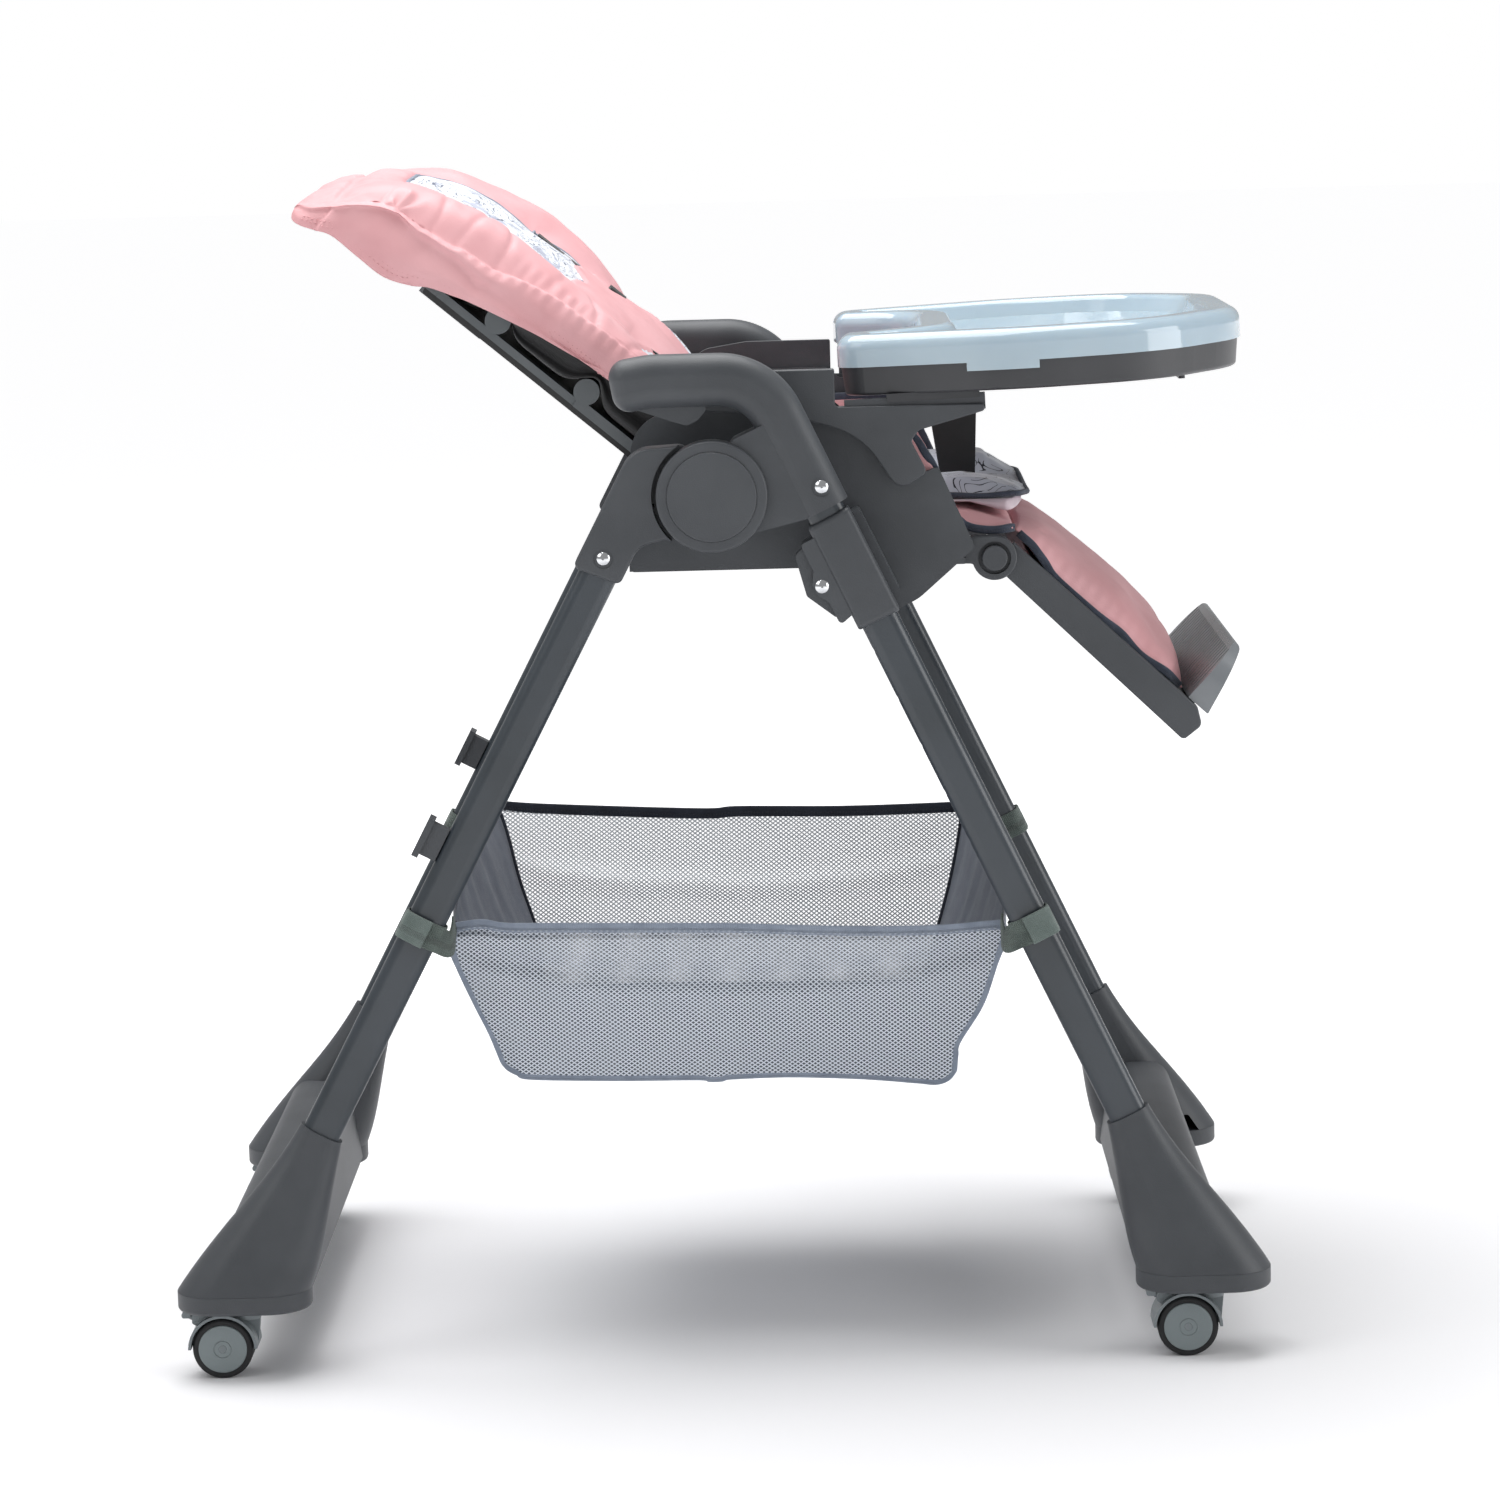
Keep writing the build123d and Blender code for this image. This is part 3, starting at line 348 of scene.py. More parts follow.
def moulded(name, dark, light, roughness, grain=0.0009, relief=0.00012, coat=0.0):
    # injection-moulded polypropylene from a spark-eroded tool: matte, with a fine even grain
    material, tree, shader = startMaterial(name, {"Roughness": roughness, "IOR": 1.49,
                                                  "Coat Weight": coat, "Coat Roughness": 0.25})
    place = objectPlace(tree)
    mottled(tree, shader, place, dark, light, 0.06)
    grained(tree, shader, place, grain, relief)
    return material


polypropylene = moulded("polypropyleneCharcoal", "#404347", "#484b4f", 0.48)
polypropyleneDark = moulded("polypropyleneGraphite", "#36373a", "#3d3e41", 0.38, relief=0.00006)
polypropyleneBlack = moulded("polypropyleneBlack", "#0f0f10", "#151517", 0.45)
polypropyleneShell = moulded("polypropyleneSlate", "#5d6265", "#666b6e", 0.3, relief=0.00005)
polypropyleneGrey = moulded("polypropyleneCasterGrey", "#767d80", "#7f878a", 0.42, relief=0.00006)
footrestPlastic = moulded("polypropyleneFootrest", "#74787c", "#7e8286", 0.26, relief=0.00001, coat=0.2)


def powderCoat(name, dark, light, roughness):
    # epoxy powder baked on steel tube: satin, with an orange-peel ripple about 2 mm across
    material, tree, shader = startMaterial(name, {"Roughness": roughness, "IOR": 1.5,
                                                  "Coat Weight": 0.35, "Coat Roughness": 0.22})
    place = objectPlace(tree)
    mottled(tree, shader, place, dark, light, 0.09)
    grained(tree, shader, place, 0.002, 0.00005, 1.0)
    return material


tubePaint = powderCoat("powderCoatSlate", "#2b3238", "#343b42", 0.36)
stayPaint = powderCoat("powderCoatBlack", "#101113", "#17181a", 0.4)


# tinted semi-clear polypropylene from a polished tool: milky, with a sharp gloss
iceBlue, tree, shader = startMaterial("polypropyleneIceBlue", {
    "Roughness": 0.12, "IOR": 1.49, "Subsurface Weight": 0.25, "Subsurface Radius": (0.5, 0.7, 0.9),
    "Subsurface Scale": 0.012, "Coat Weight": 0.5, "Coat Roughness": 0.04})
mottled(tree, shader, objectPlace(tree), "#a3b6c3", "#b0c2cd", 0.12)
grained(tree, shader, objectPlace(tree), 0.05, 0.0004, 0.0)

# bright chrome plate on steel: a mirror with faint unevenness
chrome, tree, shader = startMaterial("chromePlate", {"Base Color": linear("#d9dbde"), "Metallic": 1.0,
                                                     "Roughness": 0.12})
grained(tree, shader, objectPlace(tree), 0.0015, 0.00001)


discRadius = 0.0184    # where the wheel's disc ends and its tyre begins


def wheelFinish(name, node):
    # a satin grey disc inside a black rubber tyre: the tone changes at the disc's radius round the axle
    low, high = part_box(node)
    middle = (low + high) / 2
    material, tree, shader = startMaterial(name, {"IOR": 1.5})
    centred = addNode(tree, "Mapping", {"Vector": objectPlace(tree), "Scale": (1, 0, 1),
                                        "Location": (-middle.x, 0, -middle.z)})
    reach = addNode(tree, "VectorMath", {"Vector": centred.outputs["Vector"]}, operation="LENGTH")
    rubber = addNode(tree, "Math", {0: reach.outputs["Value"], 1: discRadius}, operation="GREATER_THAN")
    tone = addNode(tree, "ValToRGB", {"Fac": rubber.outputs["Value"]})
    tone.color_ramp.interpolation = "CONSTANT"
    tone.color_ramp.elements[0].color, tone.color_ramp.elements[1].color = linear("#7d8789"), linear("#17181a")
    tone.color_ramp.elements[1].position = 0.5
    rough = addNode(tree, "MapRange", {"Value": rubber.outputs["Value"], "To Min": 0.4, "To Max": 0.62})
    tree.links.new(tone.outputs["Color"], shader.inputs["Base Color"])
    tree.links.new(rough.outputs["Result"], shader.inputs["Roughness"])
    grained(tree, shader, objectPlace(tree), 0.0008, 0.00006)
    return material


finishes = {
    polypropylene: ["armrest", "front_foot_bar", "front_foot_plates", "rear_foot_bar", "rear_foot_plates",
                    "hub_caps", "fold_trigger", "rear_leg_socket", "seat_shell", "slider", "tray_arm",
                    "height_lock", "legrest_frame", "legrest_button", "tray_hooks"],
    polypropyleneDark: ["tray_base", "tray_latch"],
    polypropyleneBlack: ["crotch_post", "recline_handle"],
    polypropyleneShell: ["backrest_shell"],
    polypropyleneGrey: ["front_caster_housing", "rear_caster_housing", "front_caster_brake",
                        "rear_caster_brake"],
    footrestPlastic: ["footrest"],
    tubePaint: ["front_leg_tube", "rear_leg_tube"],
    stayPaint: ["backrest_rails"],
    iceBlue: ["tray_cover"],
    chrome: ["front_rivets", "rear_rivets", "slider_rivets", "hub_pins", "legrest_pins"],
}
# the longest name that a solid's own name starts with gives its finish
starts = {start: material for material, names in finishes.items() for start in names}
for node, solid in cad.items():
    fitting = [start for start in starts if node.startswith(start)]
    if fitting or "caster_wheels" in node:
        finish = starts[max(fitting, key=len)] if fitting else wheelFinish("wheelRubber_" + node, node)
        solid.data.materials.clear()
        solid.data.materials.append(finish)
print("finishes on the mouldings and metal")


def coatedFabric(name):
    # polyurethane-coated polyester: soft sheen, leather grain about 1 mm, slightly deeper tone in patches
    material, tree, shader = startMaterial(name, {"Roughness": 0.5, "IOR": 1.45, "Sheen Weight": 0.05,
                                                  "Sheen Roughness": 0.4})
    place = objectPlace(tree)
    tone = mottled(tree, shader, place, "#d79ea2", "#dfaaae", 0.05)
    grained(tree, shader, place, 0.0011, 0.00016, 3.0)
    return material, tree, shader, tone


pinkFabric = coatedFabric("coatedFabricPink")[0]


def meander(tree, cloth, scale, rings, width):
    # thin wandering lines: the level lines of a bent noise, broken here and there
    field = addNode(tree, "TexNoise", {"Vector": cloth, "Scale": scale, "Detail": 1.6, "Roughness": 0.45,
                                       "Distortion": 0.9})
    steps = addNode(tree, "Math", {0: field.outputs["Fac"], 1: rings}, operation="MULTIPLY")
    fold = addNode(tree, "Math", {0: steps.outputs["Value"], 1: 0.5}, operation="PINGPONG")
    stroke = addNode(tree, "Math", {0: fold.outputs["Value"], 1: width}, operation="LESS_THAN")
    breaks = addNode(tree, "TexNoise", {"Vector": cloth, "Scale": scale * 1.8, "Detail": 0.0})
    kept = addNode(tree, "Math", {0: breaks.outputs["Fac"], 1: 0.42}, operation="GREATER_THAN")
    return addNode(tree, "Math", {0: stroke.outputs["Value"], 1: kept.outputs["Value"]}, operation="MULTIPLY")


def printedFabric(inside):
    # the same coated fabric, printed white with fine grey-blue lines inside a shape worked out on
    # the cloth coordinate: x across, y up the back, in metres
    material, tree, shader, pink = coatedFabric("coatedFabricPrinted")
    shape = inside(tree)
    cloth = clothPlace(tree)
    line = meander(tree, cloth, 42.0, 9.0, 0.09)
    patch = addNode(tree, "TexNoise", {"Vector": cloth, "Scale": 34.0, "Detail": 1.0, "Distortion": 1.2})
    filled = addNode(tree, "Math", {0: patch.outputs["Fac"], 1: 0.64}, operation="GREATER_THAN")
    ground = addNode(tree, "Mix", {"Factor": filled.outputs["Value"]}, data_type="RGBA")
    ground.inputs[6].default_value, ground.inputs[7].default_value = linear("#d9dde4"), linear("#b3b8c8")
    drawn = addNode(tree, "Mix", {"Factor": line.outputs["Value"]}, data_type="RGBA")
    tree.links.new(ground.outputs[2], drawn.inputs[6])
    drawn.inputs[7].default_value = linear("#5d6376")
    whole = addNode(tree, "Mix", {"Factor": shape}, data_type="RGBA")
    tree.links.new(pink.outputs["Color"], whole.inputs[6])
    tree.links.new(drawn.outputs[2], whole.inputs[7])
    tree.links.new(whole.outputs[2], shader.inputs["Base Color"])
    return material


def woven(name, dark, light, thread, relief, roughness=0.8):
    # plain weave: two crossed sine waves, one thread wide each, make the bump; a wave texture of
    # scale s has 10 s / pi bands a metre, so its scale is pi / 10 over the thread
    material, tree, shader = startMaterial(name, {"Roughness": roughness, "IOR": 1.45, "Sheen Weight": 0.2,
                                                  "Sheen Roughness": 0.5})
    cloth = clothPlace(tree)
    mottled(tree, shader, objectPlace(tree), dark, light, 0.012)
    rows = addNode(tree, "TexWave", {"Vector": cloth, "Scale": 0.3142 / thread, "Distortion": 0.3},
                   wave_type="BANDS", bands_direction="X")
    picks = addNode(tree, "TexWave", {"Vector": cloth, "Scale": 0.3142 / thread, "Distortion": 0.3},
                    wave_type="BANDS", bands_direction="Y")
    both = addNode(tree, "Math", {0: rows.outputs["Fac"], 1: picks.outputs["Fac"]}, operation="MULTIPLY")
    bump = addNode(tree, "Bump", {"Height": both.outputs["Value"], "Distance": relief, "Strength": 1.0})
    tree.links.new(bump.outputs["Normal"], shader.inputs["Normal"])
    return material


slatePiping = woven("piping_slateWoven", "#363d4b", "#434a59", 0.0012, 0.0002)
bluePiping = woven("piping_blueGreyWoven", "#7d8797", "#8c96a6", 0.0012, 0.0002)
nylon = woven("nylonBlueGrey", "#626977", "#6e7583", 0.0009, 0.00008, 0.55)
bindingTape = woven("tapeBlueGrey", "#7e8898", "#8c96a6", 0.0013, 0.0002, 0.6)
bindingDark = woven("tapeNavy", "#252a36", "#303643", 0.0013, 0.0002, 0.6)
hookTape = woven("hookTapeGreyGreen", "#4d5753", "#5c6762", 0.0016, 0.0005, 0.9)
hookTab = woven("hookTabGrey", "#5d6a66", "#6b7773", 0.0014, 0.0003, 0.75)
webbing = woven("webbingBlack", "#17181b", "#232427", 0.0018, 0.0004, 0.75)


# satin-faced polyester wadding, grey-lilac, printed with thin dark meandering lines
linerSatin, tree, shader = startMaterial("satinLinerGrey", {"Roughness": 0.42, "IOR": 1.45,
                                                            "Sheen Weight": 0.3, "Sheen Roughness": 0.3})
base = mottled(tree, shader, objectPlace(tree), "#b4b8c4", "#c2c6d0", 0.04)
line = meander(tree, clothPlace(tree), 38.0, 7.0, 0.055)
whole = addNode(tree, "Mix", {"Factor": line.outputs["Value"]}, data_type="RGBA")
tree.links.new(base.outputs["Color"], whole.inputs[6])
whole.inputs[7].default_value = linear("#2b2c36")
tree.links.new(whole.outputs[2], shader.inputs["Base Color"])
grained(tree, shader, objectPlace(tree), 0.012, 0.0006, 2.0)


def netting(name, thread, paintedCellTone, cellAlpha, pitch, width):
    # knitted polyester net: two sets of slanting threads, and between them the cells, filled with a part-clear
    # tone that is painted light, not a back layer of the net
    material, tree, shader = startMaterial(name, {"Roughness": 0.55, "IOR": 1.5})
    cloth = clothPlace(tree)
    parts = addNode(tree, "SeparateXYZ", {"Vector": cloth})
    raised = addNode(tree, "Math", {0: parts.outputs["Y"], 1: 1.25}, operation="MULTIPLY")
    lines = []
    for turn in ("ADD", "SUBTRACT"):
        slant = addNode(tree, "Math", {0: parts.outputs["X"], 1: raised.outputs["Value"]}, operation=turn)
        count = addNode(tree, "Math", {0: slant.outputs["Value"], 1: 1 / pitch}, operation="MULTIPLY")
        fold = addNode(tree, "Math", {0: count.outputs["Value"], 1: 0.5}, operation="PINGPONG")
        lines.append(addNode(tree, "MapRange", {"Value": fold.outputs["Value"], "From Min": width / 2 - 0.03,
                                                "From Max": width / 2 + 0.03, "To Min": 1.0, "To Max": 0.0}))
    whole = addNode(tree, "Math", {0: lines[0].outputs["Result"], 1: lines[1].outputs["Result"]},
                    operation="MAXIMUM")
    tone = addNode(tree, "Mix", {"Factor": whole.outputs["Value"]}, data_type="RGBA")
    tone.inputs[6].default_value, tone.inputs[7].default_value = linear(paintedCellTone), linear(thread)
    tree.links.new(tone.outputs[2], shader.inputs["Base Color"])
    clear = addNode(tree, "MapRange", {"Value": whole.outputs["Value"], "To Min": cellAlpha, "To Max": 1.0})
    tree.links.new(clear.outputs["Result"], shader.inputs["Alpha"])
    return material


# painted light in the nets: the near net's dark cells are painted shade of the basket's inside, the far net's
# pale cells paint the white seen through it, and its greyer threads are painted shade
netNear = netting("netPolyesterNearPaintedShade", "#d5dbe4", "#4b535f", 0.75, 0.0044, 0.34)
netFar = netting("netPolyesterFarPaintedLightAndShade", "#c9cfd5", "#c3c9cf", 0.35, 0.0044, 0.34)
print("fabrics ready")


def stitched(name, path, outward, material, pitch=0.0042, length=0.003, width=0.0009):
    # lock stitches along a path: small four-sided lozenges, one per pitch, half sunk in the cloth
    path = np.asarray(path, float)
    outward = np.broadcast_to(np.asarray(outward, float), path.shape)
    reach = np.concatenate([[0], np.cumsum(np.linalg.norm(np.diff(path, axis=0), axis=1))])
    starts = np.arange(pitch, reach[-1] - pitch, pitch)
    at = np.stack([starts, starts + length / 2, starts + length], axis=1)
    spots = np.stack([np.interp(at, reach, path[:, k]) for k in range(3)], axis=-1)
    lift = np.stack([np.interp(at[:, 1], reach, outward[:, k]) for k in range(3)], axis=-1)
    lift /= np.linalg.norm(lift, axis=1, keepdims=True)
    along = spots[:, 2] - spots[:, 0]
    across = np.cross(along, lift)
    across *= (width / 2) / np.linalg.norm(across, axis=1, keepdims=True)
    middle = spots[:, 1]
    corners = np.stack([spots[:, 0], middle + across + lift * width * 0.3, spots[:, 2],
                        middle - across + lift * width * 0.3, middle + lift * width,
                        middle - lift * width * 0.3], axis=1)
    faces = np.array([[0, 1, 4], [1, 2, 4], [2, 3, 4], [3, 0, 4], [1, 0, 5], [2, 1, 5], [3, 2, 5], [0, 3, 5]])
    faces = (faces[None] + 6 * np.arange(len(starts))[:, None, None]).reshape(-1, 3)
    mesh = bpy.data.meshes.new(name)
    mesh.from_pydata(corners.reshape(-1, 3).tolist(), [], faces.tolist())
    mesh.materials.append(material)
    piece = bpy.data.objects.new(name, mesh)
    bpy.context.scene.collection.objects.link(piece)
    turnOutwards(mesh)
    return piece


def across4(columns, count):
    # control lines, each (rows, 2), joined across by a cubic: gives rows x count x 2
    lines = np.stack(columns)
    smooth = smoothLine(lines.reshape(len(columns), -1), count)
    return smooth.reshape(count, -1, 2).transpose(1, 0, 2)


# the back cushion, in mm up the back and mm in front of the hinge
back = {"pivot": (-0.042, 0, 0.65), "lean": 40.2, "rows": 176, "frontColumns": 132, "sideColumns": 26,
        "panelHalf": 88, "panelTop": 299, "panelCorner": 42, "flapTop": 152, "flapLow": 66,
        "pressure": 2.5, "cap": 0.004, "liningColumns": 44, "liningTop": 234}
lean = math.radians(back["lean"])
backUp = np.array([-math.cos(lean), 0, math.sin(lean)])
backOut = np.array([math.sin(lean), 0, math.cos(lean)])


def onBack(u, y, n):
    # mm up the back, across it and out of it, to metres in the frame
    u, y, n = np.broadcast_arrays(u, y, n)
    return (np.array(back["pivot"]) + (u[..., None] * backUp + n[..., None] * backOut
                                       + y[..., None] * np.array([0, 1, 0])) / 1000)


nearSeam = [(30, 72), (75, 79), (103, 80), (127, 78), (150, 77), (180, 71), (202, 64), (230, 61), (239, 58),
            (261, 55), (284, 54), (292, 53), (306, 46), (320, 34), (333, 23), (339, 17), (346, 12), (350, 8)]
nearCrest = [(30, 76), (70, 82), (90, 85), (102, 87), (157, 90), (197, 91), (225, 89), (257, 83), (281, 77),
             (296, 71), (310, 61), (322, 48), (331, 38), (340, 28), (347, 20), (350, 10)]
panelNear = [(30, 74), (70, 78), (90, 80), (102, 83), (157, 84.5), (197, 85), (225, 84), (257, 78),
             (281, 72), (296, 67), (310, 60), (322, 51), (330, 41), (341, 31), (347, 22), (350, 10)]
panelMiddle = [(30, 82), (64, 90), (96, 90), (122, 90), (174, 91), (199, 91), (232, 90), (265, 84), (287, 77),
               (306, 70), (322, 57), (329, 43), (341, 32), (347, 22), (350, 10)]
panelFar = [(30, 90), (64, 97), (96, 93), (122, 91), (145, 92), (174, 93.5), (199, 90), (232, 91), (265, 84),
            (287, 76), (306, 68), (322, 55), (329, 43), (341, 32), (347, 22), (350, 10)]
farCrest = [(30, 82), (80, 84), (107, 89.5), (120, 95), (138, 100), (158, 104.5), (185, 106), (207, 106),
            (238, 99), (261, 92), (282, 85), (305, 71), (322, 54), (332, 40), (341, 29), (347, 20), (350, 10)]
hemLine = [(30, 66), (70, 62), (90, 57.6), (108, 51.8), (132, 47.8), (152, 44.4), (199, 33.6), (215, 28.6),
           (232, 22.6), (244, 15), (264, 7.4), (289, 7), (314, 7), (328, 1), (338, -3), (345, -4),
           (348.5, -1), (350, 5)]
creaseLine = [(30, 54), (180, 50), (203, 46), (217, 48), (234, 49), (261, 46), (270, 46.5), (284, 50),
              (300, 44), (320, 28), (339, 9), (350, 6.5)]
up = 350 - 320 * (1 - np.linspace(0, 1, back["rows"])) ** 1.35
seamHalf = table([(30, 165), (276, 165), (296, 155), (330, 151), (341, 148), (350, 139)], up)
hemHalf = table([(30, 172), (296, 172), (325, 163), (340, 155), (350, 142)], up)
seam, hem = table(nearSeam, up), table(hemLine, up)
rolled = ease(up, 165, 215) * (1 - ease(up, 288, 312))
crease = np.minimum(table(creaseLine, up), seam - 4)
inner = 30 + 16 * (near(up - 90, 13) + near(up - 176, 13))
inner = np.where(up < 236, inner, inner * (1 - ease(up, 236, 243)) - 4 * ease(up, 236, 243))
inner = np.where(up < 236, inner, hem + 2.5)
inner = np.minimum(inner, table(panelNear, up) - 6)


def pair(y, n):
    # places across the back and out of it, side by side
    return np.stack(np.broadcast_arrays(y, n), axis=-1)


def sideWall(side, raise_):
    # from hem to seam: a hanging drape, then the crease, then the rolled strip under the seam
    top = seam + raise_
    return across4([pair(side * hemHalf, hem), pair(side * (hemHalf + 1.2), hem + 0.45 * (crease - hem)),
                    pair(side * (hemHalf - 0.5 - 3.2 * rolled), crease),
                    pair(side * (hemHalf + 1.5), (crease + top) / 2),
                    pair(side * (seamHalf + 4.5), top - 1.5), pair(side * seamHalf, top)], back["sideColumns"])


narrow = seamHalf / 165
front = across4([pair(-seamHalf, seam), pair(-151 * narrow, seam + 0.72 * (table(nearCrest, up) - seam)),
                 pair(-128 * narrow, table(nearCrest, up)), pair(-107 * narrow, table(nearCrest, up) - 0.5),
                 pair(-88 * narrow, table(panelNear, up)),
                 pair(-44 * narrow, table(panelNear, up) * 0.5 + table(panelMiddle, up) * 0.5),
                 pair(0 * narrow, table(panelMiddle, up)),
                 pair(44 * narrow, table(panelFar, up) * 0.5 + table(panelMiddle, up) * 0.5),
                 pair(88 * narrow, table(panelFar, up)), pair(112 * narrow, table(farCrest, up) - 1),
                 pair(135 * narrow, table(farCrest, up)),
                 pair(153 * narrow, seam + 3 + 0.75 * (table(farCrest, up) - seam - 3)),
                 pair(seamHalf, seam + 3)], back["frontColumns"])
y, n = front[..., 0], front[..., 1].copy()
u = np.broadcast_to(up[:, None], y.shape)

# signed distance in mm to the rounded outline of the printed panel, positive inside
panelLong = 250    # half the panel's length; its lower end is under the flap
qu = np.abs(u - (back["panelTop"] - panelLong)) - (panelLong - back["panelCorner"])
qy = np.abs(y) - (back["panelHalf"] - back["panelCorner"])
panelReach = (back["panelCorner"] - np.hypot(np.maximum(qu, 0), np.maximum(qy, 0))
              - np.minimum(np.maximum(qu, qy), 0))
# the pink flap: its top edge runs in soft hills, its sides draw in towards the seat
hills = back["flapTop"] + 6 * np.sin(y / 19 + 0.6) + 3.5 * np.sin(y / 8.5 + 2)
flapHalf = back["panelHalf"] + 6 - 34 * (1 - ease(u, back["flapLow"] - 8, 100))
flapReach = np.minimum(hills - u, flapHalf - np.abs(y))
printReach = np.minimum(panelReach, -flapReach)

n += 1.2 * waves(u, y, 3, 95) + 0.5 * waves(u, y, 5, 30)
n -= 2.6 * near(panelReach, 3.2) * ease(u, 40, 60)
n += 3.2 * ease(flapReach, -1.5, 3) * ease(panelReach, -2, 4)
outside = np.abs(y)
# creases across the bolsters: each one's place up the back, its slant and its depth
creases = ((258, 0.2, 1.7), (236, -0.12, 1.5), (200, 0.22, 2.0), (165, -0.18, 1.0), (118, 0.25, 1.8),
           (80, -0.1, 1.5))
for place, slant, depth in creases:
    reach = u - place - slant * (165 - outside) - 2.5 * waves(y, u, int(place), 60)
    n -= (depth * near(reach, 2.6) * ease(outside, 100, 128) * (1 - 0.3 * ease(outside, 140, 165))
          * ease(-y, -60, 0))
    n += 0.35 * depth * near(np.abs(reach) - 8, 6) * ease(outside, 104, 140) * ease(-y, -60, 0)
# puckers along the side seam, a gathered star where the seam turns, and the dent below the top hem
n += (0.7 * np.sin(u * 2 * math.pi / 9 + 3 * np.sin(u / 17)) * near(outside - 160, 7) * ease(u, 40, 70)
      * (1 - ease(u, 320, 340)) * ease(np.sin(u / 23 + 1), -0.4, 0.8))
star = np.hypot(u - 287, (outside - 162) * 0.8)
n += 2.2 * np.cos(6 * np.arctan2(u - 287, outside - 166) + 0.6) * near(star - 5, 7)
n -= 4.0 * near(u - 328 - 1.5 * waves(y, u, 9, 70), 3.5) * ease(164 - outside, 0, 30)
front[..., 1] = n

nearSide, farSide = sideWall(-1, 0), sideWall(1, 3)
for wall, seed in ((nearSide, 21), (farSide, 22)):
    fold = np.linspace(0, 1, back["sideColumns"])[None, :]
    along = up[:, None]
    swell = (0.9 * np.sin(along * 2 * math.pi / 10 + seed) * near(fold - 0.85, 0.18)
             + 1.1 * waves(along, fold * 60, seed, 55) + 0.8 * waves(along, fold * 30, seed + 3, 22))
    wall[..., 0] += np.sign(wall[..., 0]) * swell * ease(fold, 0.02, 0.2) * (1 - ease(fold, 0.93, 1.0))
innerWall = [pair(168 * hemHalf / 172, hem + 0.8), pair(160 * hemHalf / 172, (hem + inner) / 2),
             pair(147 * hemHalf / 172, inner), pair(0, inner - 0.5), pair(-147 * hemHalf / 172, inner),
             pair(-160 * hemHalf / 172, (hem + inner) / 2), pair(-168 * hemHalf / 172, hem + 0.8)]
inside = across4(innerWall, 46)
loop = np.concatenate([nearSide[:, :-1], front[:, :-1], farSide[:, ::-1], inside], axis=1)
points = onBack(up[:, None], loop[..., 0], loop[..., 1])
reachAll = np.full(loop.shape[:2], -60.0)
first = back["sideColumns"] - 1
reachAll[:, first:first + back["frontColumns"] - 1] = printReach[:, :-1]
cloth = np.stack([loop[..., 0], np.broadcast_to(up[:, None], loop.shape[:2]), reachAll], axis=-1) / 1000
pinned = np.zeros(loop.shape[:2], bool)
pinned[:, [0, first, first + 1, first + back["frontColumns"] - 2, first + back["frontColumns"] - 1]] = True
pinned[:, first + back["frontColumns"] + back["sideColumns"] - 2:] = True
pinned[:3], pinned[-6:] = True, True
pinned[:, first:first + back["frontColumns"] - 1] |= np.abs(panelReach[:, :-1]) < 3
points = puffed(points, pinned, back["pressure"], back["cap"])
# what is laid on the front later follows the puffed cloth
moved = points[:, first:first + back["frontColumns"] - 1] - np.array(back["pivot"])
front[:, :-1] = pair(moved[..., 1], moved @ backOut) * 1000


def printed(tree):
    # 1 where the signed distance kept with the cloth says the print is
    parts = addNode(tree, "SeparateXYZ", {"Vector": clothPlace(tree)})
    return addNode(tree, "Math", {0: parts.outputs["Z"], 1: 0.0}, operation="GREATER_THAN").outputs["Value"]


printedPink = printedFabric(printed)
backCushion = gridMesh("backCushion", points, printedPink, around=True, capped=True, cloth=cloth)
# the side against the shell is a black lining
liningBlack = woven("liningBlackNylon", "#0e0e10", "#151518", 0.0011, 0.0001, 0.6)
backCushion.data.materials.append(liningBlack)
quadRow, quadCol = np.divmod(np.arange((back["rows"] - 1) * loop.shape[1]), loop.shape[1])
facing = np.zeros(len(backCushion.data.polygons), np.int32)
facing[:len(quadRow)] = (quadCol >= loop.shape[1] - back["liningColumns"]) & (up[quadRow] < back["liningTop"])
backCushion.data.polygons.foreach_set("material_index", facing)
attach(backCushion, "backrest")
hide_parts("backrest_cushion")


# the piping round the panel rides in its groove, and the hem has two rows of stitches
def frontHeight(u, y):
    # out-of-back place of the front, read off its grid
    row = np.interp(u, up, np.arange(len(up)))
    low = np.minimum(row.astype(int), len(up) - 2)
    share = row - low
    at = np.array([[np.interp(across, front[r, :, 0], front[r, :, 1]) for r in (first, first + 1)]
                   for across, first in zip(y, low)])
    return at[:, 0] * (1 - share) + at[:, 1] * share


corner, half, top = back["panelCorner"], back["panelHalf"], back["panelTop"]
turn = np.linspace(0, math.pi / 2, 12)
side = np.linspace(56, top - corner, 60)[:-1]
rise, spread = corner * np.sin(turn), corner * np.cos(turn)
ring = np.concatenate([np.column_stack([side, np.full(59, -half)]),
                       np.column_stack([top - corner + rise, -half + corner - spread]),
                       np.column_stack([np.full(24, top),
                                        np.linspace(-half + corner, half - corner, 26)[1:-1]]),
                       np.column_stack([top - corner + spread, half - corner + rise]),
                       np.column_stack([side[::-1], np.full(59, half)])])
ringPath = onBack(ring[:, 0], ring[:, 1], frontHeight(ring[:, 0], ring[:, 1]) + 0.6)
panelPiping = carried("backPanelPiping", ringPath, backOut, roundProfile(0.0013, 8), bluePiping)
mounted(panelPiping, "backrest")


def thread(name, tone):
    # twisted polyester sewing thread: satin, with fibres under half a millimetre long
    material, tree, shader = startMaterial(name, {"Base Color": linear(tone), "Roughness": 0.6})
    grained(tree, shader, objectPlace(tree), 0.0004, 0.00005)
    return material


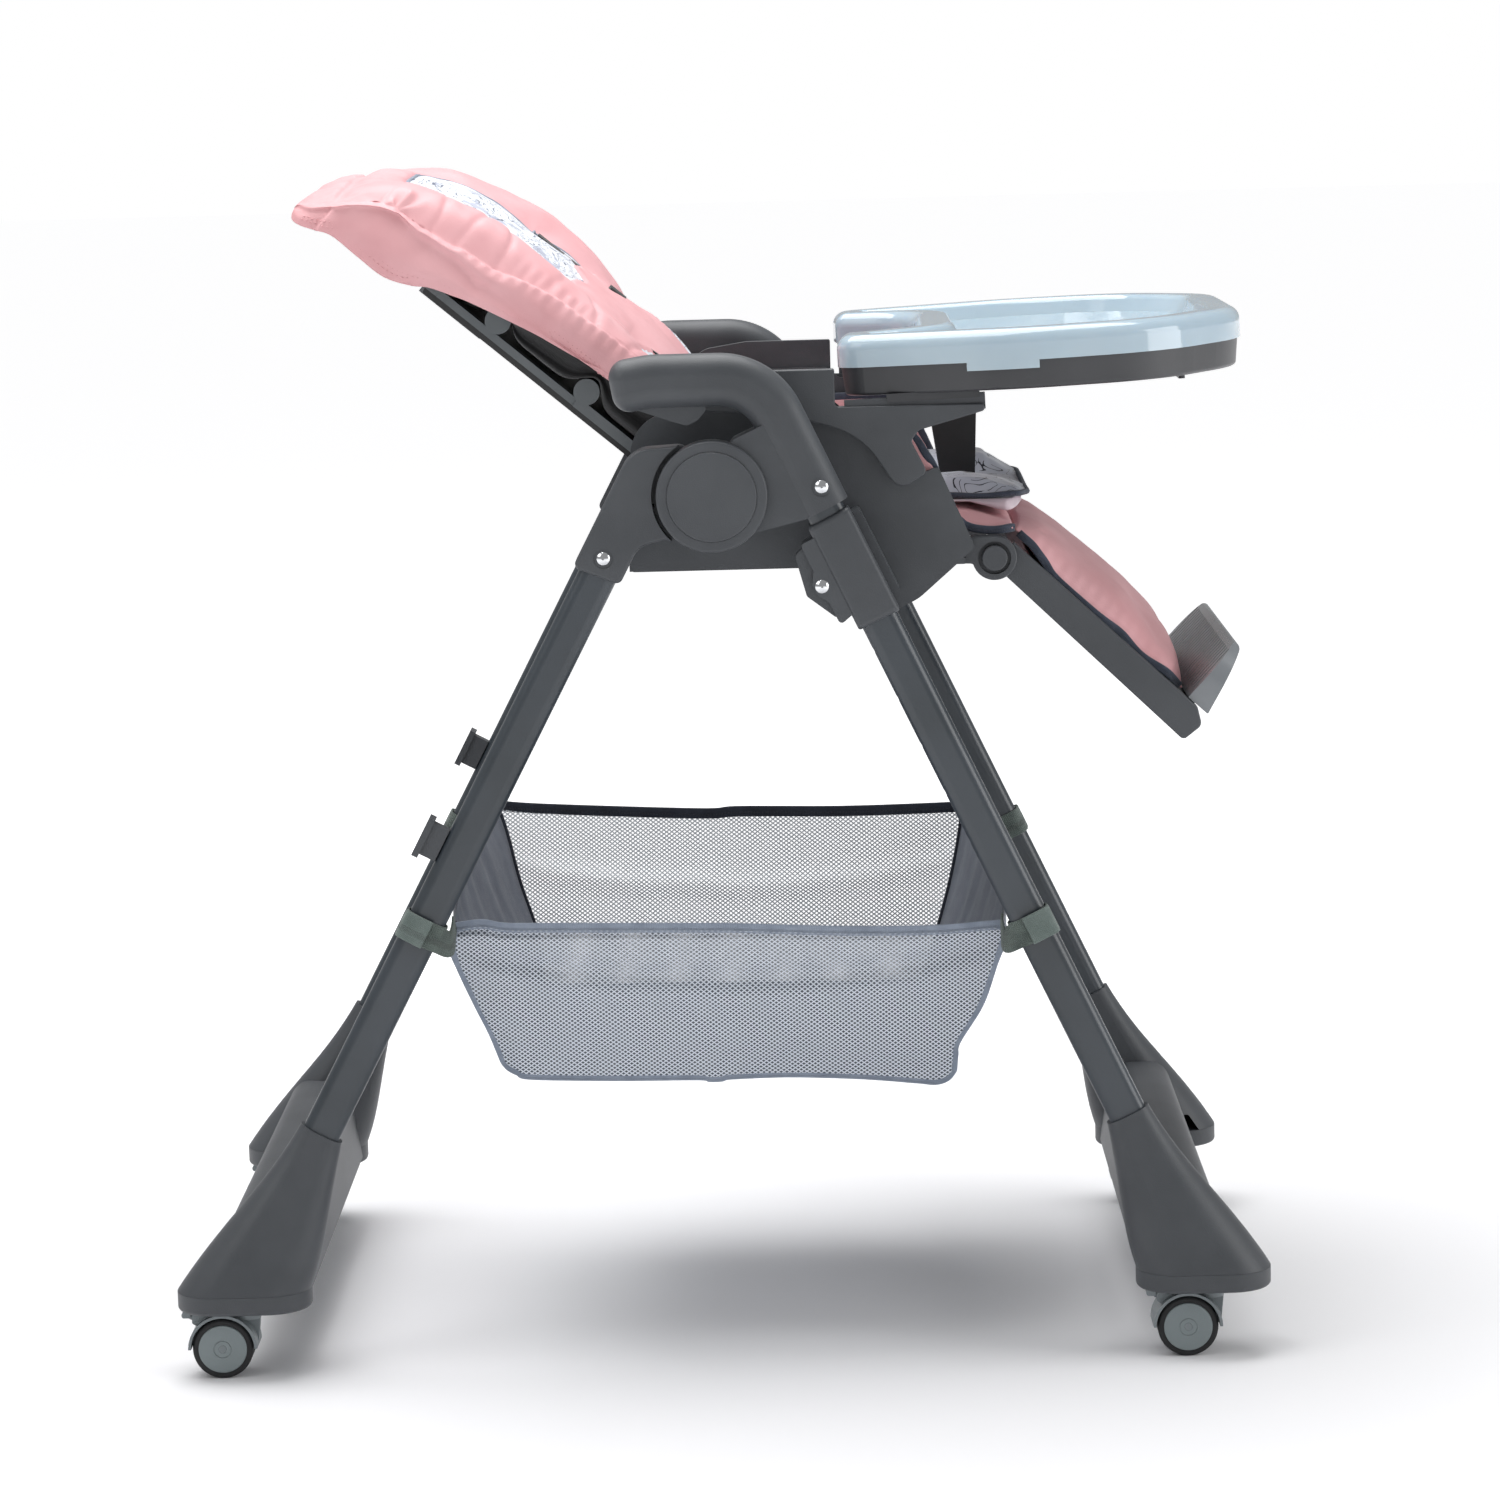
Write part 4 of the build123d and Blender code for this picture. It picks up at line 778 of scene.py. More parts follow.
threadPink = thread("threadPink", "#d9a3a7")
wanted = (up > 66) & (up < 343)
for name, wall, place in (("Near", nearSide, -1), ("Far", farSide, 1)):
    for row, inset in enumerate((5.0, 8.0)):
        reach = np.linalg.norm(np.diff(wall, axis=1), axis=-1).cumsum(1)
        column = np.argmax(reach > inset, axis=1) + 1
        spot = wall[np.arange(len(up)), column]
        line = onBack(up, spot[:, 0] + place * 0.2, spot[:, 1])[wanted]
        stitches = stitched(f"backHemStitches{name}{row}", line, (0, place, 0), threadPink)
        mounted(stitches, "backrest")
print("back cushion made")


def slabLoop(x, halfWidth, top, low, sideRound, cols=90, edge=14):
    # closed sections square to x: along the top, round one side, back underneath, round the other;
    # top and low are rows x cols heights
    rows = len(x)
    across = np.linspace(-1, 1, cols)[None] * halfWidth[:, None]
    turn = np.linspace(0, math.pi, edge)[None, 1:-1]
    middle, half = (top[:, -1:] + low[:, -1:]) / 2, (top[:, -1:] - low[:, -1:]) / 2
    right = np.stack([halfWidth[:, None] + sideRound * np.sin(turn), middle + half * np.cos(turn)], -1)
    middle0, half0 = (top[:, :1] + low[:, :1]) / 2, (top[:, :1] - low[:, :1]) / 2
    leftTurn = turn[:, ::-1]
    left = np.stack([-halfWidth[:, None] - sideRound * np.sin(leftTurn),
                     middle0 + half0 * np.cos(leftTurn)], -1)
    upper = np.stack([across, top], -1)
    lower = np.stack([across[:, ::-1], low[:, ::-1]], -1)
    loop = np.concatenate([upper, right, lower, left], axis=1)
    return np.concatenate([np.broadcast_to(np.asarray(x)[:, None, None], (rows, loop.shape[1], 1)), loop], -1)


def onSheet(points):
    # cloth coordinate for a grid: arc length along the rows and along the columns
    down = np.concatenate([np.zeros((1, points.shape[1])),
                           np.linalg.norm(np.diff(points, axis=0), axis=-1).cumsum(0)])
    over = np.concatenate([np.zeros((points.shape[0], 1)),
                           np.linalg.norm(np.diff(points, axis=1), axis=-1).cumsum(1)], axis=1)
    return np.stack([over, down, np.zeros(down.shape)], -1)


padPressure = 2.0


def edgesHeld(loop, cols):
    # which points of such a loop the simulation leaves alone: its round sides and its two ends
    held = np.zeros(loop.shape[:2], bool)
    held[:, cols - 1:cols + 13], held[:, -13:], held[:, :1] = True, True, True
    held[:2], held[-2:] = True, True
    return held


# the seat pad: a thin pad with an edge that drops over the front of the seat
seatPad = {"back": -30, "front": 233, "half": 157, "swell": 0.003}
x = seatPad["front"] - (seatPad["front"] - seatPad["back"]) * (1 - np.linspace(0, 1, 110)) ** 1.15
topLine = table([(-30, 634), (-10, 638.5), (60, 640), (120, 640.5), (189, 640), (205, 638.2), (217, 635),
                 (226, 632), (231, 629), (233, 626)], x)
lowLine = table([(-30, 605.5), (150, 606), (182, 608), (190, 616), (196, 624.5), (205, 622), (219, 620.6),
                 (229, 621), (233, 623)], x)
cols = 90
across = np.linspace(-1, 1, cols)
half = np.where(x > 188, seatPad["half"] + 1.0, seatPad["half"])
dome = np.clip(1 - np.abs(across) ** 6, 0, 1)
edgeTop = table([(-30, 622), (60, 628), (150, 630), (189, 631.5), (205, 628.5), (219, 625), (230, 624),
                 (233, 624)], x)
top = edgeTop[:, None] + (topLine - edgeTop)[:, None] * dome[None] ** 0.8
top += 0.7 * waves(x[:, None], across[None] * 160, 31, 70) * dome[None]
low = np.minimum(np.broadcast_to(lowLine[:, None], top.shape), top - 2)
loop = slabLoop(x, half, top, low, 3.0) / 1000
loop = puffed(loop, edgesHeld(loop, cols), padPressure, seatPad["swell"])
seatCushion = gridMesh("seatPad", loop, pinkFabric, around=True, capped=True, cloth=onSheet(loop))
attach(seatCushion, "seat")
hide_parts("seat_cushion")

# a padded wing stands against each wall of the seat, bound along its free edge
wing = {"inner": 173.5, "outer": 182.5, "low": 622}
edge = np.array([(56, 640), (54, 690), (64, 701), (110, 703), (146, 702), (159, 695), (167, 683), (172, 675),
                 (178, 661), (182, 649), (187, 640), (191, 632)], float)
edge = smoothLine(edge, 90)
for side, word in ((-1, "Right"), (1, "Left")):
    rows = np.linspace(0, 1, 30)[:, None]
    foot = np.column_stack([np.linspace(60, 188, len(edge)), np.full(len(edge), wing["low"])])
    # each strip runs from the foot to the bound edge; the strips' thickness swells between them
    flat = foot[None] * (1 - rows[..., None]) + edge[None] * rows[..., None]
    along = np.linspace(0, 1, len(edge))[None]
    swell = (np.sqrt(np.clip(1 - (2 * rows - 1) ** 6, 0, 1))
             * np.sqrt(np.clip(1 - np.abs(2 * along - 1) ** 8, 0, 1)))
    ripple = 1.0 * waves(flat[..., 0], flat[..., 1], 41, 45)
    inner = wing["outer"] - 3 - (wing["outer"] - wing["inner"] - 3) * swell - ripple * swell
    outer = np.full(inner.shape, wing["outer"] - 1.0) + 1.0 * swell
    facing = np.stack([flat[..., 0], side * inner, flat[..., 1]], -1)
    backing = np.stack([flat[..., 0], side * outer, flat[..., 1]], -1)
    shell = np.concatenate([facing, backing[:, ::-1]], axis=1) / 1000
    piece = gridMesh("seatWing" + word, shell, pinkFabric, around=True, capped=True, cloth=onSheet(shell))
    mounted(piece, "seat")
    line = np.column_stack([edge[:, 0], np.full(len(edge), side * (wing["outer"] - 3.5)), edge[:, 1]]) / 1000
    line[:, 1] += side * 0.0006 * np.sin(np.linspace(0, 26, len(line)))
    tape = carried("seatWingBinding" + word, line, (0, side, 0), flatProfile(0.0062, 0.0066), slatePiping)
    mounted(tape, "seat")
    # the same tape runs on along the pad's front corner to the leg rest
    cornerLine = smoothLine([(187, 170, 634), (191, 165, 630), (196, 162, 626.5), (205, 162, 624),
                             (219, 161.6, 622), (228, 160.5, 621.8), (233, 156, 622.5)], 40)
    cornerLine[:, 1] *= side
    cornerLine[:, 2] += 0.8 * np.sin(np.linspace(0, 9, len(cornerLine)))
    tape = carried("seatFrontBinding" + word, cornerLine / 1000, (0, 0, 1),
                   flatProfile(0.0052, 0.0062), slatePiping)
    mounted(tape, "seat")
print("seat pad and wings made")


# the liner on the seat: a satin pad folded double, its upper half bound in slate
liner = {"back": 98, "front": 246.5, "half": 126, "puff": 0.004, "flatHalf": 44, "edge": 646}
x = liner["front"] - (liner["front"] - liner["back"]) * (1 - np.linspace(0, 1, 84)) ** 1.25
cols = 110
across = np.linspace(-1, 1, cols)
nearTop = table([(98, 651), (110, 657), (182, 658.5), (201, 658.5), (218, 656), (230, 653), (238, 650.5),
                 (243, 648), (246.5, 646)], x)
middleTop = table([(98, 647), (140, 648.2), (208, 648.2), (222, 648), (236, 647.2), (246.5, 645.5)], x)
farTop = table([(98, 652), (150, 661), (212, 663), (224, 659), (240, 650), (246.5, 646)], x)
y = across * liner["half"]
shareNear = ease(-y, 34, 66) * (1 - ease(-y, 112, 127))
shareFar = ease(y, 28, 60) * (1 - ease(y, 112, 127))
top = (middleTop[:, None] + (nearTop - middleTop)[:, None] * shareNear[None]
       + (farTop - middleTop)[:, None] * shareFar[None])
drop = np.clip(1 - ((np.abs(y) - 112) / 14).clip(0, 1) ** 2, 0, 1) ** 0.5
top = liner["edge"] + (top - liner["edge"]) * drop[None]
top += ((0.8 * waves(x[:, None], y[None], 51, 40) + 0.5 * waves(x[:, None], y[None], 52, 18))
        * (shareNear + shareFar)[None] * drop[None])
low = np.full(top.shape, 644.2) - 0.8 * (shareNear + shareFar)[None]
low = np.minimum(low, top - 1.2)
half = liner["half"] - 22 * ease(x, 236, 246.5) ** 2 - 16 * (1 - ease(x, 98, 112)) ** 2
loop = slabLoop(x, half, top, low, 1.6, cols=cols) / 1000
pinned = edgesHeld(loop, cols)
pinned[:, :cols] |= (np.abs(y) < liner["flatHalf"])[None]
loop = puffed(loop, pinned, padPressure, liner["puff"])
linerUpper = gridMesh("linerUpper", loop, linerSatin, around=True, capped=True, cloth=onSheet(loop))
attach(linerUpper, "seat")
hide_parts("seat_insert")
rim = np.concatenate([np.column_stack([x, -half - 1.2, 645.6 + 0 * x]),
                      np.column_stack([np.full(30, liner["front"] + 0.6),
                                       np.linspace(-half[-1], half[-1], 32)[1:-1], np.full(30, 645.6)]),
                      np.column_stack([x[::-1], half[::-1] + 1.2, 645.6 + 0 * x])]) / 1000
rim = smoothLine(rim[::4], 260)
rim[:, 2] += 0.0007 * np.sin(np.linspace(0, 38, len(rim)))
tape = carried("linerBinding", rim, (0, 0, 1), roundProfile(0.0023, 8), slatePiping)
mounted(tape, "seat")
# the lower half lies on the seat pad and shows its lighter side
x = 242 - 140 * (1 - np.linspace(0, 1, 70)) ** 1.25
across = np.linspace(-1, 1, 80)
top = np.full((70, 80), 642.8)
nose = ease(x, 226, 242)
rest = table([(102, 641.6), (189, 641.4), (205, 639.6), (217, 636.4), (230, 633.6), (238, 635),
              (242, 639)], x)
low = np.broadcast_to(rest[:, None], top.shape) + 0.5 * np.abs(waves(x[:, None], across[None] * 130, 55, 30))
top = np.where(top - low < 1.5, low + 1.5, top)
half = 131 - 26 * nose ** 2 - 14 * (1 - ease(x, 102, 116)) ** 2
loop = slabLoop(x, half, top, low, 3.0, cols=80) / 1000
underSatin, tree, shader = startMaterial("satinLinerLilac", {"Roughness": 0.36, "IOR": 1.45,
                                                             "Sheen Weight": 0.35, "Sheen Roughness": 0.3})
mottled(tree, shader, objectPlace(tree), "#b3a3ac", "#c3b3bb", 0.03)
grained(tree, shader, objectPlace(tree), 0.014, 0.0008, 2.0)
linerUnder = gridMesh("linerLower", loop, underSatin, around=True, capped=True, cloth=onSheet(loop))
mounted(linerUnder, "seat")
print("liner made")


# the leg rest's pad, in mm down the leg rest and mm out of its frame
legPad = {"hinge": (0.218, 0, 0.602), "drop": 43.3, "half": 150, "swell": 0.004}
drop = math.radians(legPad["drop"])
legDown = np.array([math.cos(drop), 0, -math.sin(drop)])
legOut = np.array([math.sin(drop), 0, math.cos(drop)])


def onLeg(s, y, n):
    # mm down the leg rest, across it and out of it, to metres in the frame
    s, y, n = np.broadcast_arrays(s, y, n)
    return (np.array(legPad["hinge"]) + (s[..., None] * legDown + n[..., None] * legOut
                                         + y[..., None] * np.array([0, 1, 0])) / 1000)


s = 179 - 179 * (1 - np.linspace(0, 1, 100)) ** 1.1
crest = table([(0, 32), (5, 36), (12, 38.5), (25, 40.5), (48, 44), (83, 45), (108, 44.6), (131, 44.6),
               (145, 42.6), (159, 37.5), (169, 32), (176, 26), (179, 21)], s)
edgeN = table([(0, 25), (10, 24.5), (25, 23), (34, 22), (46, 19.4), (73, 18.4), (97, 17.6), (118, 19.6),
               (143, 18.6), (163, 20), (179, 19)], s)
scallop = 1.3 * np.sin(s / 12.0 + 0.8 * np.sin(s / 21)) * ease(s, 4, 20) * (1 - ease(s, 160, 178))
cols = 96
across = np.linspace(-1, 1, cols)
half = legPad["half"] - 18 * ease(s, 150, 179) ** 2 - 3 * (1 - ease(s, 0, 14)) + 0.8 * np.sin(s / 12)
dome = (1 - np.abs(across) ** 4.5) ** 0.62
top = (edgeN + scallop + 1.5)[:, None] + (crest - edgeN - 1.5)[:, None] * dome[None]
top += (0.9 * waves(s[:, None], across[None] * 150, 61, 80)
        + 0.35 * waves(s[:, None], across[None] * 150, 62, 24)) * dome[None]
top += 0.25 * np.sin(s[:, None] * 2 * math.pi / 11 + 3 * across[None]) * near(np.abs(across[None]) - 0.95, 0.06)
low = np.minimum(np.broadcast_to((edgeN + scallop)[:, None], top.shape), top - 1.5)
# between its edges the pad lies flat on the frame
low = low + ((18.9 - low) * (1 - np.abs(across) ** 8)[None] * ease(s, 14, 26)[:, None]
             * (1 - ease(s, 168, 177))[:, None])
body = slabLoop(s, half, top, low, 1.5, cols=cols)
loop = onLeg(body[..., 0], body[..., 1], body[..., 2])
pinned = edgesHeld(loop, cols)
pinned[:, cols + 12:-12] = True
loop = puffed(loop, pinned, padPressure, legPad["swell"])
padLeg = gridMesh("legRestPad", loop, pinkFabric, around=True, capped=True, cloth=onSheet(loop))
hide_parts("legrest_pad")
# two points on the leg rest's middle line: at the hinge, and 38 mm down from it
legBend = {"start": tuple(onLeg(np.array(0.0), 0.0, 0.0)), "end": tuple(onLeg(np.array(38.0), 0.0, 0.0))}
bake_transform(padLeg)
for side, word in ((-1, "Right"), (1, "Left")):
    line = onLeg(s, side * (half + 1.4), edgeN + scallop + 0.4)
    tape = carried("legPadBinding" + word, line[2:-3], legOut, flatProfile(0.0045, 0.0062), slatePiping)
    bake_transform(tape)
print("leg rest pad made")


# the basket hangs by its corners: mesh at the two sides, cloth at the ends and in the floor
basket = {"clothThickness": 0.0007, "rimTape": 0.0075, "halfTop": 224, "halfFloor": 187, "floorRows": 70}
nearRim = [(-197, 336), (-178, 338), (-161, 335), (-134, 334), (-13, 331), (18, 330), (98, 326), (161, 325),
           (200, 327), (216, 328)]
farRim = [(-192, 361), (-150, 357), (-21, 350), (14, 351), (103, 349), (191, 350), (204, 351)]


def blended(nearLine, farLine, first, last):
    # Coons patch: rows run from one line to the other, held to the side lines at both ends
    cols, rows = len(nearLine), len(first)
    v, w = np.linspace(0, 1, rows)[:, None, None], np.linspace(0, 1, cols)[None, :, None]
    straight = nearLine[None] * (1 - v) + farLine[None] * v
    sides = first[:, None] * (1 - w) + last[:, None] * w
    corners = (nearLine[0] * (1 - v) * (1 - w) + nearLine[-1] * (1 - v) * w
               + farLine[0] * v * (1 - w) + farLine[-1] * v * w)
    return straight + sides - corners


def lineXZ(pairs, y, count):
    # smooth line given by (x, z) in mm, its y either fixed or a pair to run between
    line = smoothLine(pairs, count)
    ends = np.linspace(*y, count) if isinstance(y, tuple) else np.full(count, float(y))
    return np.column_stack([line[:, 0], ends, line[:, 1]])


halfTop, halfFloor = basket["halfTop"], basket["halfFloor"]
nearHem = [(-167, 224), (-163, 219), (-156, 215), (-145, 211.5), (-80, 209), (-18, 208), (-9, 206.5),
           (0, 206.5), (9, 208), (55, 208.5), (111, 205.5), (150, 201.5), (165, 200), (174, 203), (179, 209)]
farHem = [(-158, 216), (-140, 211), (0, 209), (120, 207), (168, 210)]
nearBottom, farBottom = lineXZ(nearHem, -halfFloor, 120), lineXZ(farHem, halfFloor, 120)
nearTop, farTop = lineXZ(nearRim, -halfTop, 120), lineXZ(farRim, halfTop, 120)
# the four corner edges, named for their side and end: near or far, then rear or front
posts = {"nearRear": [(-197, 336), (-201, 318), (-196, 300), (-185, 272), (-175, 248), (-167, 224)],
         "nearFront": [(216, 328), (218, 316), (211, 296), (200, 264), (182, 234), (180, 222), (179, 209)],
         "farRear": [(-192, 361), (-184, 338), (-174, 298), (-159, 250), (-158, 216)],
         "farFront": [(204, 351), (198, 318), (190, 285), (178, 245), (168, 210)]}
lines = {}
for post, pairs in posts.items():
    side = -1 if post in ("nearRear", "nearFront") else 1
    lines[post] = lineXZ(pairs, (side * halfTop, side * halfFloor), 60)
lines["nearRear"][:6, 1] += np.linspace(0, 4, 6)


def clothSheet(name, points, material, cloth=None, thickness=None):
    # one sheet of the basket; its cloth coordinate is its own length along rows and columns unless one is
    # given, and it gets a wall when a thickness is given
    piece = gridMesh(name, points, material, cloth=onSheet(points) if cloth is None else cloth)
    if thickness:
        wall = piece.modifiers.new("wall", "SOLIDIFY")
        wall.thickness, wall.offset = thickness, 0
    mounted(piece, "front_frame")
    return piece


pieces = []
for word, rimLine, bottomLine, net, out in (("Near", nearTop, nearBottom, netNear, -1),
                                            ("Far", farTop, farBottom, netFar, 1)):
    wall = blended(rimLine, bottomLine, lines[word.lower() + "Rear"], lines[word.lower() + "Front"])
    xs, zs = wall[..., 0], wall[..., 2]
    v = np.linspace(0, 1, wall.shape[0])[:, None]
    w = np.linspace(0, 1, wall.shape[1])[None]
    # the mesh slumps: it bellies out below, and folds in along a band that sags in the middle
    band = table([(-194, 318), (-142, 304), (-68, 294), (-15, 292), (17, 289), (97, 292), (161, 300),
                  (217, 314)], xs)
    belly = np.sin(math.pi * v) ** 0.8 * np.sin(math.pi * w) ** 0.6
    tuck = 6.0 * near(zs - band, 9) - 3.0 * near(zs - band + 14, 10)
    wall[..., 1] += out * (5.5 * belly - tuck * np.sin(math.pi * w) ** 0.5)
    wall[..., 1] += out * 0.8 * waves(xs, zs, 71, 60) * belly
    wall /= 1000
    # the net's own threads stay level, a little closer together where it folds
    level = np.stack([wall[..., 0], wall[..., 2] * 1.05 - 0.006 * near(zs - band, 16), 0 * zs], -1)
    pieces.append(clothSheet("basketMesh" + word, wall, net, cloth=level))
for word, out in (("Rear", -1), ("Front", 1)):
    first, last = lines["near" + word], lines["far" + word]
    w = np.linspace(0, 1, 80)
    top = first[0] * (1 - w[:, None]) + last[0] * w[:, None]
    top[:, 2] -= 9 * np.sin(math.pi * w) ** 1.2
    top[:, 0] += out * 12 * np.sin(math.pi * w) ** 0.8
    low = first[-1] * (1 - w[:, None]) + last[-1] * w[:, None]
    wall = blended(top, low, first, last)
    # the end bows outwards, hangs in lengthwise crumples and is gathered near the corner
    v = np.linspace(0, 1, wall.shape[0])[:, None]
    crumple = np.sin(math.pi * w)[None] ** 0.7 * np.sin(math.pi * v) ** 0.5
    lengthwise = waves(wall[..., 1], wall[..., 2] * 0.22, 81, 34)
    wall[..., 0] += crumple * (2.5 * lengthwise + out * 5 * np.sin(math.pi * v) * np.sin(math.pi * w)[None])
    over = w[None] * 2 * halfTop
    wall[..., 0] += (2.0 * near(over - 26 - 6 * v, 7) * out * np.sin(math.pi * v)
                     - 2.0 * near(over - 52 + 10 * v, 6) * out * np.sin(math.pi * v))
    wall /= 1000
    pieces.append(clothSheet(f"basket{word}End", wall, nylon, thickness=basket["clothThickness"]))
    tape = carried(f"basket{word}Rim", top / 1000, (0, 0, 1), flatProfile(0.0022, 0.008), bindingDark)
    mounted(tape, "front_frame")
    pieces.append(tape)
rows = basket["floorRows"]
floorGrid = blended(nearBottom, farBottom, np.linspace(nearBottom[0], farBottom[0], rows),
                    np.linspace(nearBottom[-1], farBottom[-1], rows))
v, w = np.linspace(0, 1, rows)[:, None], np.linspace(0, 1, 120)[None]
floorGrid[..., 2] += (1.2 * waves(floorGrid[..., 0], floorGrid[..., 1], 91, 90)
                      * np.sin(math.pi * v) * np.sin(math.pi * w))
floorGrid /= 1000
pieces.append(clothSheet("basketFloor", floorGrid, nylon, thickness=basket["clothThickness"]))
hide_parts("basket")

tapes = {"basketRimNear": (nearTop, flatProfile(0.0026, basket["rimTape"]), bindingTape, (0, 0, 1)),
         "basketRimFar": (farTop, flatProfile(0.003, 0.009), bindingDark, (0, 0, 1)),
         "basketHemNear": (nearBottom, flatProfile(0.0034, 0.0048), bindingTape, (0, 0, 1)),
         "basketHemFar": (farBottom, flatProfile(0.0034, 0.0048), bindingTape, (0, 0, 1)),
         "basketPostNearRear": (lines["nearRear"], flatProfile(0.0048, 0.0034), bindingTape, (0, 1, 0)),
         "basketPostNearFront": (lines["nearFront"], flatProfile(0.0048, 0.0034), bindingTape, (0, 1, 0)),
         "basketPostFarRear": (lines["farRear"], flatProfile(0.0052, 0.003), bindingDark, (0, 1, 0)),
         "basketPostFarFront": (lines["farFront"], flatProfile(0.0052, 0.003), bindingDark, (0, 1, 0))}
for name, (line, profile, material, up) in tapes.items():
    tape = carried(name, line / 1000, up, profile, material)
    mounted(tape, "front_frame")
    pieces.append(tape)
threadPale = thread("threadPaleGrey", "#b8bfca")
for name, face in (("basketRimStitches", -1), ("basketRimStitchesInner", 1)):
    row = nearTop / 1000 + np.array([0, face * 0.0015, -0.0022])
    stitches = stitched(name, row, (0, face, 0), threadPale)
    mounted(stitches, "front_frame")
    pieces.append(stitches)
# each piece of the basket gets its own copy of its mesh
for piece in pieces:
    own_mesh(piece)
print("basket made")


# hook-and-loop straps round the legs: a band round the tube, a tail to the basket's corner
straps = {"width": 0.021, "thickness": 0.0018, "tubeDepth": 29, "tubeWidth": 19, "corner": 8, "gauge": 484,
          "hub": (6, 0, 661.0)}


def roundedRect(depth, width, corner, count=48):
    # a rectangle with round corners, as points round it
    turn = np.linspace(0, 2 * math.pi, count, endpoint=False)
    c, s = np.cos(turn), np.sin(turn)
    return np.column_stack([np.sign(c) * (depth / 2 - corner) + c * corner,
                            np.sign(s) * (width / 2 - corner) + s * corner])


# each leg's strap height, the basket corner it holds, the leg's lean and its distance from the hub
for frameName, z, cornerX, lean, away, sign in (("front", 330, 216, 25.2, 70.0, 1),
                                                ("rear", 338, -198, 27.95, 49.5, -1)):
    angle = math.radians(lean)
    alongLeg = np.array([-sign * math.sin(angle), 0, math.cos(angle)])
    acrossLeg = np.array([math.cos(angle), 0, sign * math.sin(angle)])
    hub = np.array(straps["hub"]) + acrossLeg * sign * away
    spot = hub + alongLeg * (z - hub[2]) / alongLeg[2]
    for side, word in ((-1, "Right"), (1, "Left")):
        centre = spot + np.array([0, side * straps["gauge"] / 2, 0])
        ring = roundedRect(straps["tubeDepth"] + 3.0, straps["tubeWidth"] + 3.0, straps["corner"] + 1.5)
        path = centre + ring[:, :1] * acrossLeg + ring[:, 1:] * np.array([0, 1, 0])
        band = carried(f"strapBand{frameName.capitalize()}{word}", path / 1000, alongLeg,
                       flatProfile(straps["thickness"], straps["width"]), hookTape, around=True)
        # the tail comes off the outside of the tube, runs to the basket and is lapped by the hook tab
        outer = side * (straps["gauge"] / 2 + straps["tubeWidth"] / 2 + 2.6) - centre[1]
        inward = -sign

        def beside(reach, out):
            # mm across the leg from its middle, and out from the strap's own level
            return centre + acrossLeg * reach + np.array([0, outer + out, 0])

        tail = smoothLine([beside(sign * 12, 0), beside(0, side * 0.4), beside(inward * 14, -side * 2),
                           beside(inward * 24, -side * 12), np.array([cornerX, side * 227.5, z + 1.0])], 30)
        strip = carried(f"strapTail{frameName.capitalize()}{word}", tail / 1000, (0, 0, 1),
                        flatProfile(straps["thickness"], straps["width"] - 0.001), hookTape)
        tab = smoothLine([beside(sign * 16.5, -side * 4), beside(sign * 14, side * 1.0),
                          beside(sign * 2, side * 2.6), beside(inward * 5, side * 2.9)], 20)
        lap = carried(f"strapTab{frameName.capitalize()}{word}", tab / 1000, alongLeg,
                      flatProfile(straps["thickness"], straps["width"] + 0.0008), hookTab)
        for piece in (band, strip, lap):
            mounted(piece, f"{frameName}_frame")
        if side == -1:
            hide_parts(f"basket_straps_{frameName}")
print("straps made")


# the five-point harness: webbing over the back's panel and across the seat, with its buckle
harness = {"webbing": 0.025, "thickness": 0.0016, "place": 49, "slotUp": 197, "lapX": 30}
buckleBlack = moulded("acetalBlack", "#18181a", "#222224", 0.35, relief=0.00003)


def overFront(name, u, y, lift, profile, material):
    # a band laid on the back cushion from one height up to another, at a constant place across it
    across = np.full(len(u), float(y))
    line = onBack(u, across, frontHeight(u, across) + lift)
    return mounted(carried(name, line, backOut, profile, material), "backrest")


